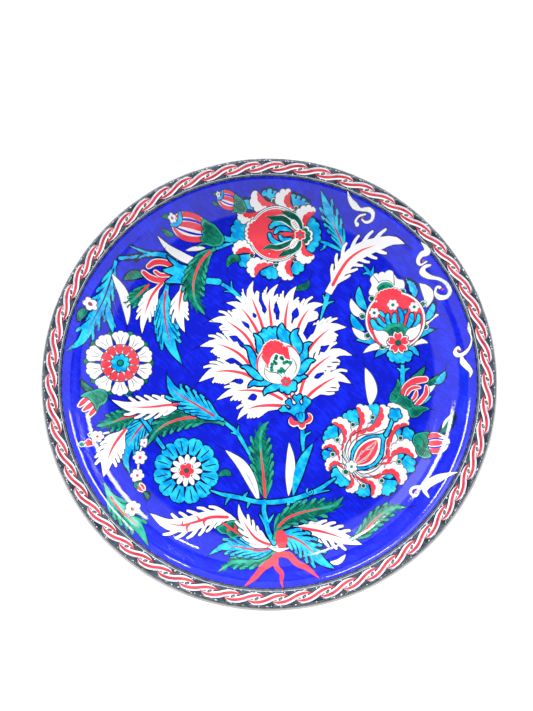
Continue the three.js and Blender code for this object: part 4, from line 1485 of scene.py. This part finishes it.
plain(lily, (-87, 71.6), (-100.4, 67.4), 5.4, -0.16, green, 2, -6)
stem(lily, [(-66, 83), (-72, 86), (-80, 86.6), (-88, 84.6), (-102, 80)], [3.6, 3, 2.4, 2.0, 1.8], 2,
    ([(-80, 86.2), (-87, 87.2), (-95, 88.6)], [(-84, 85.6), (-89, 83.8), (-92.7, 80.6)]))
stem(lily, [(-35.4, 67.6), (-27, 62.5), (-17.2, 53.2)], [2.0, 2.4, 3.6], 1,
    ([(-23, 59.4), (-26, 63), (-26.6, 68.4)], [(-22, 58.6), (-27, 61), (-31.6, 61)]))
lily.shape(tapered(smooth([(-70, 66.6), (-60, 68.8), (-48, 69), (-35.6, 68)]), [1.6, 3.8, 4.0, 4.4]),
    turquoise, 3, edge=0.8)
fingered(
    lily, [(-71, 67), (-73, 52), (-71.4, 37), (-67.4, 22), (-60, 9.6)], 14, (6, 6), turquoise, 2, belly=0.5,
    root=0.3, first=0.2, last=0.66,
    reach=0.13, finger=2.6, edge=0.9, vein=(crimson, 0.1, 0.74, 1.5), slit_ink=navy, whisker=8,
)
fingered(
    lily, [(-60, 66), (-62, 55), (-62.6, 46), (-60.6, 37), (-58.4, 32)], 11, (4, 3), white, 6, belly=0.5,
    root=0.5, first=0.2, last=0.66,
    reach=0.16, finger=2.1, vein=(red, 0.0, 0.6, 1.7), whisker=5,
)
fingered(
    lily, [(-75, 67), (-81.6, 58), (-85.6, 47), (-87.6, 38), (-87.8, 31)], 10.5, (4, 4), white, 6,
    belly=0.45, root=0.5, first=0.2, last=0.66,
    reach=0.15, finger=2.1, vein=(red, 0.0, 0.66, 1.9), whisker=-5,
)
green_leaf(lily, [(-84, 65.6), (-90, 59), (-95, 54), (-101, 49.6)], 8.5, (3, 3), 5, vein=(0.0, 0.6),
    first=0.15, last=0.66, reach=0.2)
fingered(
    lily, [(-46, 82), (-56, 83.6), (-64, 87.4), (-71, 91.6), (-77.6, 98)], 6.2, (0, 0), white, 7,
    belly=0.42, root=0.5, core=1.0, whisker=0,
)
lily.line(smooth([(-72.6, 92), (-72.8, 89.4), (-71.4, 86.6)]), 0.5, slate, 9, ends=0.5)
lily.reserve(blade([(-45, 92.4), (-52, 91.8), (-58.6, 90.4)], 3.2, 0.45), 7)
lily_cup = [(-66, 67), (-58, 67), (-55.6, 72), (-56.6, 78.4), (-62, 80.2), (-67, 83.6), (-71.4, 86.2),
    (-69.6, 82.8), (-66.6, 79.4), (-70.6, 77.6), (-74.4, 76.2), (-71.4, 74), (-67.4, 72.4), (-69.4, 70.4),
    (-72.6, 67.4)]
stroke(lily, [(-84.2, 78), (-80, 81), (-73.8, 81.4), (-66.6, 78.8)], 3.5, 8, taper=0.7)
stroke(lily, [(-87.4, 73.8), (-83, 70.6), (-76, 68.8), (-66.4, 71)], 3.6, 8, taper=0.7)
stroke(lily, [(-79.6, 74.8), (-76, 72.6), (-72, 72.6), (-67, 72.6)], 2.2, 12, taper=0.8)
lily.shape(smooth(lily_cup, True), turquoise, 16, edge=1.0)
green_leaf(
    lily, [(-38, 92), (-45, 86.6), (-50.8, 76), (-53, 65), (-51.4, 54), (-44.4, 44)], 14, (7, 7), 19,
    vein=(0.08, 0.74), vein_width=1.9,
    first=0.1, last=0.68, reach=0.1, whisker=7, finger=2.4,
)
lily.done()

top_buds = Painting("top_left_buds")
for place, size, turn in (((-55, 105.4), 1.0, -0.08), ((-28.8, 123.2), 0.56, -0.1)):
    place = np.array(place)
    rotate = np.array([[math.cos(turn), math.sin(turn)], [-math.sin(turn), math.cos(turn)]])

    def spot(points):
        return place + np.array(points, float) * size @ rotate

    top_buds.reserve(oval(place, 26 * size, 17.6 * size, turn, steps=40), 3)
    for arch, width in (
        ([(-9.6, 4.6), (-3, 7.2), (4, 6.8), (10, 3.6)], 2.9),
        ([(-8.6, 0.6), (-2, 1.6), (5, 1.2), (11, -0.4)], 3.9),
        ([(-11, -2.6), (-6, -6.2), (2, -7.2), (10, -5.4)], 3.6),
    ):
        top_buds.brush(spot(arch), np.array([0.5, 1, 1.1, 0.9]) * width * size, red, 6)
    for arch in ([(-9, 3), (-2, 4.6), (5, 4.2), (11, 1.8)], [(-10.4, -1.4), (-4, -2.6), (4, -3.4), (11, -3)]):
        top_buds.brush(spot(arch), np.array([0.9, 1.5, 1.4, 0.9]) * size, cobalt, 7)
    crown_line = spot([(-7.4, 6.8), (-7.4, 3), (-9.6, 0.4), (-12.6, -0.6)])
    top_buds.shape(tapered(smooth(crown_line), np.array([1.8, 2.6, 2.4, 2.0]) * size), turquoise, 9, edge=0.5)
    blossom(top_buds, spot([(-12.4, 3)])[0], 2.6 * size, 5, white, 9, edge=0.4, edge_ink=slate, heart=crimson)
    top_buds.shape(blade(spot([(-13.6, 2.4), (-16.4, 2.8), (-19, 1.8)]), 2.6 * size, 0.45), green, 6,
        edge=0.4)
    top_buds.shape(blade(spot([(-11.4, -6), (-15, -6.4), (-19.6, -4.6)]), 3.4 * size, 0.45), green, 2,
        edge=0.4)
    cup_shape = (
        spot([(7, 4.6), (8.6, 7), (12, 5.6), (16, 4.4), (21, -0.4), (23.6, -4), (22, -9.2), (16, -10.6),
        (10, -9.8), (5, -11.4), (8.4, -8), (7, -5.6), (9, -3.6), (7.4, -1.6), (9, 0.4), (7.4, 2.4)])
    )
    sepal(top_buds, cup_shape, spot([(14.6, -3)])[0], 0.84, 11)
    top_buds.brush(spot([(11, 2.6), (15, -1.6), (20, -3.6)]), [0.3, 2.2 * size, 0.3], dark_green, 15)
stem(top_buds, [(-32.4, 99.6), (-29, 98.8), (-24.6, 98.6)], [3.8, 3.4, 3.0], 2)
stem(top_buds, [(-38.4, 91.4), (-31, 94.6), (-24.3, 97)], [1.8, 2.2, 1.4], 1)
top_buds.shape(blade([(-20.6, 82.6), (-24, 85.2), (-27.4, 83.6), (-29.6, 78.4)], 5.6, 0.4), green, 4,
    edge=0.5)
top_buds.fill(blade([(-22, 83.4), (-25, 84), (-28.4, 80.6)], 2.4, 0.4), dark_green, 6)
hair(top_buds, Spine([(-28.6, 81.4), (-29.6, 78.4)]), 6, navy, 3, bend=0.4)
top_buds.done()

wall = Painting("left_wall_leaves")
fingered(
    wall, [(-104.4, 78), (-109.4, 63), (-114.6, 49), (-121, 35.6), (-127, 22), (-134.6, 14.6)], 10.5,
    (8, 8), turquoise, 2, belly=0.5, root=0.25,
    first=0.1, last=0.74, reach=0.08, finger=1.8, edge=0.6, vein=(navy, 0.08, 0.7, 0.8), slit_ink=navy,
)
wall.shape(blade([(-111, 50), (-110.4, 43), (-108.6, 37), (-107.6, 31)], 4.4, 0.45), turquoise, 3, edge=0.7)
wall.shape(blade([(-109.6, 40), (-107, 37), (-105.6, 34.6)], 1.8, 0.45), turquoise, 3, edge=0.6)
plain(wall, (-107.4, 69.8), (-98, 37), 6.2, 0.10, white, 5, 8)
wall.line(smooth([(-107.4, 60), (-106.6, 50), (-103.4, 42)]), 0.35, grey, 8, ends=0.7)
blossom(wall, (-120.8, 48), 4.0, 5, white, 5, edge=0.45, edge_ink=slate, heart=crimson)
plain(wall, (-122.4, 44.4), (-127.6, 35.6), 4.2, -0.1, green, 4, 0)
wall.done()

# ----------------------------------------
# Middle and lower left: the crossing of turquoise, green and white saz leaves, the thin garland
# of little white flowers that hangs from it, and the leaf on the lower left wall.
# ----------------------------------------
middle = Painting("left_saz_leaves")
stem(middle, [(-96.8, -11), (-92, -16.6)], [2.6, 2.4], 1)
fingered(
    middle, [(-78, -24), (-84.6, -30.6), (-90.6, -38), (-95, -46), (-96.6, -55), (-93.3, -64.6)], 12,
    (5, 6), turquoise, 2, belly=0.42, root=0.4,
    first=0.12, last=0.6, reach=0.13, finger=2.5, edge=0.9, vein=(crimson, 0.08, 0.6, 1.5), slit_ink=navy,
)
fingered(
    middle, [(-97, -34.6), (-103.4, -44), (-107.2, -54), (-108.6, -67)], 14, (5, 6), white, 6, belly=0.45,
    root=0.4, first=0.16, last=0.7,
    reach=0.13, finger=2.2, vein=(red, 0.02, 0.68, 1.9), whisker=0,
)
green_leaf(middle, [(-87.4, -25.4), (-96, -26.4), (-105, -30), (-116, -33.4)], 11.5, (4, 4), 8,
    vein=(0.06, 0.66), vein_width=1.7, first=0.14, last=0.66, reach=0.14, whisker=5)
stem(middle, [(-88.6, -24.6), (-80, -36), (-71.3, -47.4)], [2.2, 2.4, 2.2], 14)
green_leaf(middle, [(-30.6, -31.6), (-40, -28), (-52, -26.8), (-65, -29.4), (-76, -35.8), (-82.4, -46)], 13,
    (6, 8), 16, vein=(0.34, 0.82), vein_width=1.7, first=0.22, last=0.74, reach=0.09, finger=2.4)
fingered(
    middle, [(-57, -17.6), (-70, -18.6), (-83, -20), (-96, -19.4), (-107, -15.2)], 14.5, (5, 6), white, 22,
    belly=0.45, root=0.35, first=0.12, last=0.72,
    reach=0.12, finger=2.3, vein=(red, 0.1, 0.72, 1.6), whisker=-5,
)
fingered(
    middle, [(-31, -28.6), (-39, -25.2), (-48, -19.2), (-58, -13.6), (-65.6, -8.4), (-70, 2)], 14, (7, 6),
    turquoise, 24, belly=0.5, root=0.2,
    first=0.14, last=0.7, reach=0.12, finger=2.2, edge=0.9, vein=(crimson, 0.14, 0.8, 1.5), slit_ink=navy,
    whisker=-4,
)
middle.done()

garland = Painting("flower_garland")
for path in (
    [(-81.6, -38), (-84, -42), (-86.6, -48), (-87.6, -55), (-88, -62), (-87.4, -70)],
    [(-107, -37), (-112.4, -38.4)],
):
    garland.line(smooth(path), 1.9, slate, 2)
    garland.line(smooth(path), 1.1, white, 4)
for place, radius, petals in (((-114.7, -40.3), 3.9, 6), ((-84.4, -44), 3.0, 5), ((-87, -53.9), 4.6, 6),
        ((-88.3, -65.9), 4.4, 6)):
    blossom(garland, place, radius, petals, white, 5, edge=0.45, edge_ink=slate, turn=0.5)
    garland.fill(oval(place, radius * 0.46, radius * 0.46), red, 8)
for place, radius, ink in (((-118.9, -44.8), 2.4, crimson), ((-118.4, -39.3), 1.5, green),
        ((-122.4, -46), 1.6, green)):
    blossom(garland, place, radius, 5, ink, 3, edge=0.4, edge_ink=white)
garland.shape(smooth([(-89.6, -70.6), (-85.4, -69.6), (-84.6, -72.4), (-88, -74.6), (-90, -73)], True),
    green, 8, edge=0.5)
stroke(garland, [(-87.6, -72), (-86.4, -74), (-84.4, -75.6)], 2.6, 6)
stroke(garland, [(-86, -71.6), (-84.4, -73), (-83.4, -75)], 1.6, 9)
plain(garland, (-83.2, -77), (-81.2, -82), 3.0, 0.2, green, 5, 3)
fingered(
    garland, [(-107.6, -71), (-103.4, -79), (-95.6, -89), (-85.4, -98), (-77, -110.6)], 10, (4, 6), mint, 2,
    belly=0.5, root=0.15, first=0.2, last=0.7,
    reach=0.1, finger=2.0, edge=0.5, vein=(red, 0.2, 0.74, 1.2), slit_ink=dark_green,
)
garland.brush([(-101.6, -83), (-95, -91.6), (-86, -99.6)], [0.4, 1.6, 0.4], green, 5)
blossom(garland, (-89.3, -87.3), 4.6, 6, white, 6, edge=0.4, edge_ink=slate, heart=crimson)
garland.done()

# ----------------------------------------
# Foot of the painting: the red roots, the forked turquoise stems, and the leaves that spread to
# both sides of them and rise to the central flower.
# ----------------------------------------
foot = Painting("foot_leaves_and_stems")
stem(foot, [(22.4, -34.6), (22.4, -42), (23, -50.6)], [2.6, 2.6, 1.4], 1,
    ([(22.8, -43), (23.8, -39.4), (28, -36.6)],))
stem(foot, [(-31.4, -29.2), (-22, -37.2), (-18, -43.7), (-13.6, -51.4)], [1.8, 2.4, 2.6, 1.6], 1,
    ([(-20, -40), (-21.4, -37), (-20.8, -32.4)], [(-21.6, -38), (-23.6, -37.4), (-26, -37.4)]))
green_leaf(foot, [(-2.7, -83), (-4, -66), (-5.6, -52), (-6.2, -40), (-3.6, -32.6), (0, -29.4)], 14, (7, 7),
    2, vein=(0.06, 0.64), vein_width=1.8, first=0.1, last=0.72, reach=0.09, whisker=-4, finger=2.5)
for points, width, ink, whisker in (
    ([(-6.6, -84), (-12, -70), (-19, -58.4), (-29.6, -49)], 7.0, white, 7),
    ([(12.7, -79.4), (13.6, -68), (14.2, -56), (13.3, -43.8)], 6.2, white, 0),
    ([(15.7, -79.4), (18.4, -68), (22.4, -56.4), (29.2, -44.6)], 6.4, turquoise, -9),
):
    if whisker:
        hair(foot, Spine(points), whisker, navy, 2)
    foot.shape(blade(points, width, 0.5), ink, 5, 0.5 if ink is white else 1.0,
        slate if ink is white else navy)
foot.fill(blade([(-8, -80), (-13.4, -68), (-20, -59)], 1.0, 0.4), shade, 8)
foot.shape(blade([(-25.4, -65.8), (-29.4, -63.8), (-34.6, -66.2)], 4.2, 0.45), green, 3, edge=0.5)
hair(foot, Spine([(-30, -64.4), (-34.6, -66.2)]), 4, navy, 2)
stem(
    foot, [(-39, -75.8), (-31.3, -78.3), (-20.7, -80.3), (-7.3, -83.3), (4, -83.4), (13.3, -82),
    (24.7, -78.6), (33, -75), (44, -67.6)],
    [0.8, 2.6, 2.6, 2.8, 3.0, 2.8, 2.8, 2.6, 1.2], 9,
    ([(-26, -79.4), (-28, -82), (-29.4, -85)], [(-17, -80.6), (-16.4, -79), (-14.6, -77)],
    [(-13, -82), (-14, -84.6), (-14.8, -87.4)], [(22, -79.6), (30, -77.4), (40, -75.6)],
    [(12, -82.4), (18, -83.4), (25, -82)], [(13, -82.6), (12.4, -85.6), (10.6, -89.4)]),
)
curl_turns = np.linspace(0, 1.55 * math.pi, 20)
foot.shape(tapered(np.column_stack([27.4 + (2.7 - 0.34 * curl_turns) * np.cos(curl_turns + 2.4),
    -76.4 + (2.7 - 0.34 * curl_turns) * np.sin(curl_turns + 2.4)]), [1.0, 1.0, 0.8, 0.5]), turquoise, 12,
    edge=0.5)
stem(foot, [(-3.4, -83), (-3.7, -89), (-2.3, -95), (-1, -102), (3, -110)], [2.8, 2.8, 3.0, 3.0, 2.6], 9,
    ([(-2.6, -98), (-4.4, -95), (-6.6, -91.6)], [(-2, -98), (0.4, -95), (2.8, -91.4)]))
fingered(
    foot, [(-20, -97), (-31, -92.4), (-43, -94.4), (-55, -98), (-67, -97.6), (-78.6, -90.6)], 16, (7, 6),
    white, 2, belly=0.48, root=0.2, first=0.16, last=0.74,
    reach=0.09, finger=2.3, vein=(red, 0.14, 0.82, 1.9), whisker=-5,
)
for path in ([(-43, -94.6), (-46, -95), (-48.4, -92.6)], [(-42, -94.4), (-43.6, -96.2), (-43, -98.6)],
        [(-55, -98), (-57.6, -98.4), (-57.4, -96)], [(-53, -97.6), (-54.6, -99.6), (-54.2, -102.4)]):
    foot.brush(path, [1.6, 1.5, 0.6], red, 6)
dark_leaf = [(-30.7, -97.7), (-24.7, -95.5), (-20.7, -97.5), (-18.4, -101.6), (-16, -106.3),
    (-20.4, -105.8), (-24.7, -107), (-28, -104.4), (-32, -103.6), (-35.2, -100.3)]
sepal(foot, dark_leaf, [-25.4, -101.4], 0.82, 7)
for path in ([(-31, -97), (-24, -101.7), (-17.4, -106)], [(-23, -102), (-22.4, -100), (-23.4, -98)],
        [(-25, -101), (-27.4, -101), (-27.6, -103)]):
    foot.brush(path, [1.5, 1.4, 0.3], red, 11)
fingered(
    foot, [(6, -112), (-3.3, -110), (-10, -106), (-15.6, -98.6), (-19.3, -91.7), (-20.6, -84.6)], 10.5,
    (4, 4), white, 8, belly=0.45, root=0.3, first=0.2, last=0.7,
    reach=0.13, finger=2.1, vein=(red, 0.14, 0.72, 1.7), whisker=-5,
)
fingered(
    foot, [(7, -112), (-6.7, -114.6), (-19, -112.6), (-30, -112), (-39.4, -117)], 10, (5, 5), turquoise, 6,
    belly=0.5, root=0.3, first=0.18, last=0.7,
    reach=0.12, finger=2.2, edge=0.7, vein=(crimson, 0.16, 0.74, 1.4), slit_ink=navy, whisker=5,
)
green_leaf(foot, [(7, -112.4), (-2, -118.4), (-13, -121.2), (-23, -121.4), (-33.4, -126.8)], 7.4, (4, 4), 3,
    vein=(0.9, 0.95), vein_width=0.3, first=0.2, last=0.7, reach=0.12)
fingered(
    foot, [(16, -99.6), (28.3, -101.4), (38.3, -103.5), (48.3, -106.8), (60, -110.4)], 14.5, (6, 5), white,
    4, belly=0.5, root=0.2, first=0.16, last=0.74,
    reach=0.11, finger=2.3, vein=(red, 0.1, 0.76, 1.8),
)
fingered(
    foot, [(3, -105), (12, -105.4), (21.4, -109.6), (28.6, -116), (34, -121), (41, -124.8)], 14, (6, 6),
    turquoise, 7, belly=0.45, root=0.3, first=0.18, last=0.72,
    reach=0.11, finger=2.4, edge=0.9, vein=(crimson, 0.16, 0.74, 1.5), slit_ink=navy,
)
green_leaf(foot, [(3, -108), (6, -99.4), (12, -93.8), (22, -90), (34, -87.6), (44, -85), (49.6, -79.6)], 13,
    (7, 6), 11, vein=(0.16, 0.72), vein_width=1.6, first=0.12, last=0.72, reach=0.08, finger=2.4)
green_leaf(foot, [(53, -107.6), (61.4, -103), (68.3, -96), (75, -90.6), (82, -87), (90, -86.6)], 9, (6, 6),
    6, vein=(0.14, 0.66), vein_width=1.5, first=0.12, last=0.72, reach=0.1, whisker=6)
plain(foot, (38.4, -121.6), (49, -116.6), 2.8, -0.16, white, 4, 5)
for path, widths in (
    ([(7.4, -104.6), (8, -108.4), (8.2, -112)], [6.0, 8.0, 4.6]),
    ([(9, -116.6), (4.6, -117.8), (1.4, -121.4), (-4, -124.6), (-9, -129.6), (-15.6, -134.8)],
    [2.4, 3.8, 4.2, 3.4, 2.4, 0.3]),
    ([(4, -119.4), (4.2, -124), (7.6, -128.4), (7.2, -132.2), (7.9, -135.6)], [3.0, 2.8, 2.6, 1.7, 0.3]),
    ([(6.6, -116.8), (13, -117.8), (17.6, -122.2), (24, -125), (30.4, -130)], [3.0, 4.0, 3.4, 2.6, 0.3]),
):
    foot.line(tapered(smooth(path), widths), 0.6, crimson, 18, closed=True)
    foot.brush(path, widths, red, 19)
foot.reserve(tapered(smooth([(-1, -112.4), (6, -114.4), (13, -113)]), [0.4, 2.4, 0.4]), 21, 0.3)
foot.done()

# ----------------------------------------
# Stage: a pale floor, soft studio light and the camera that looks down on the plate.
# ----------------------------------------
scene = bpy.context.scene
floor_mesh = bpy.data.meshes.new("pale_floor")
floor_half = 3.0
floor_mesh.from_pydata(
    [(-floor_half, -floor_half, 0), (floor_half, -floor_half, 0), (floor_half, floor_half, 0),
    (-floor_half, floor_half, 0)],
    [],
    [(0, 1, 2, 3)],
)
floor = bpy.data.objects.new("pale_floor", floor_mesh)
scene.collection.objects.link(floor)
floor.location.z = -0.0002
pale, nodes, link, shader = node_tree("pale_floor")
shader.inputs["Base Color"].default_value = (0.93, 0.93, 0.93, 1)
shader.inputs["Roughness"].default_value = 0.9
seen = nodes.new("ShaderNodeLightPath")
link(seen.outputs["Is Camera Ray"], shader.inputs["Emission Color"])
shader.inputs["Emission Strength"].default_value = 0.45
under = nodes.new("ShaderNodeBsdfTransparent")
either = nodes.new("ShaderNodeMixShader")
side = nodes.new("ShaderNodeNewGeometry")
link(side.outputs["Backfacing"], either.inputs["Fac"])
link(shader.outputs["BSDF"], either.inputs[1])
link(under.outputs["BSDF"], either.inputs[2])
link(either.outputs["Shader"], nodes["Material Output"].inputs["Surface"])
floor_mesh.materials.append(pale)

world = bpy.data.worlds.new("studio")
scene.world = world
world.use_nodes = True
nodes, link = world.node_tree.nodes, world.node_tree.links.new
direction = nodes.new("ShaderNodeTexCoord").outputs["Generated"]
dark_axis = Vector((0.0, -0.16, 1.0)).normalized()
nearness = nodes.new("ShaderNodeVectorMath")
nearness.operation = "DOT_PRODUCT"
link(direction, nearness.inputs[0])
nearness.inputs[1].default_value = dark_axis
fade = nodes.new("ShaderNodeMapRange")
fade.inputs["From Min"].default_value = math.cos(math.radians(34))
fade.inputs["From Max"].default_value = math.cos(math.radians(27))
fade.inputs["To Min"].default_value = 1.15
fade.inputs["To Max"].default_value = 0.05
link(nearness.outputs["Value"], fade.inputs["Value"])
link(fade.outputs["Result"], nodes["Background"].inputs["Strength"])
nodes["Background"].inputs["Color"].default_value = (1, 1, 1, 1)


def soft_light(name, place, target, width, height, power):
    """A rectangular softbox aimed at a point."""
    data = bpy.data.lights.new(name, "AREA")
    data.shape = "RECTANGLE"
    data.size, data.size_y = width, height
    data.energy = power
    lamp = bpy.data.objects.new(name, data)
    scene.collection.objects.link(lamp)
    lamp.location = place
    lamp.visible_camera = False
    lamp.rotation_euler = (Vector(target) - Vector(place)).to_track_quat("-Z", "Y").to_euler()
    return lamp


def low_light(name, azimuth, elevation, distance, width, height, power):
    """A long low softbox whose reflection runs along the dish's wall."""
    flat = distance * math.cos(math.radians(elevation))
    turn = math.radians(azimuth)
    place = (flat * math.cos(turn), flat * math.sin(turn), distance * math.sin(math.radians(elevation)))
    soft_light(name, place, (0, 0, 0.02), width, height, power)


soft_light("key", (-0.9, 1.1, 1.2), (0, 0, 0.02), 0.9, 0.9, 6)
low_light("right_glint", 37, 12, 1.3, 0.8, 0.24, 12)
low_light("left_glint", 147, 12, 1.3, 0.65, 0.2, 9)
low_light("far_left_glint", 110, 30, 1.4, 0.4, 0.14, 5)
low_light("far_right_glint", 67, 16, 1.4, 0.16, 0.10, 1.5)

camera_data = bpy.data.cameras.new("camera")
camera = bpy.data.objects.new("camera", camera_data)
scene.collection.objects.link(camera)
scene.camera = camera
camera_data.sensor_fit = "VERTICAL"
camera_data.sensor_height = 24
camera_data.lens = 27.00422
tilt, swing = math.radians(-9.64), math.radians(0.72)
aim = Vector((2.3, -11.4, 523.0)) * MM
rim_centre = Vector((0, 0, float(np.interp(border_outer, face_radii, face_heights)) * MM))
turn_x = Matrix.Rotation(tilt, 3, "X")
turn_y = Matrix.Rotation(swing, 3, "Y")
view = (turn_x @ turn_y).transposed()
camera.matrix_world = Matrix.Translation(rim_centre + view @ Vector((-aim.x, -aim.y, aim.z))) @ view.to_4x4()
scene.view_settings.view_transform = "Standard"
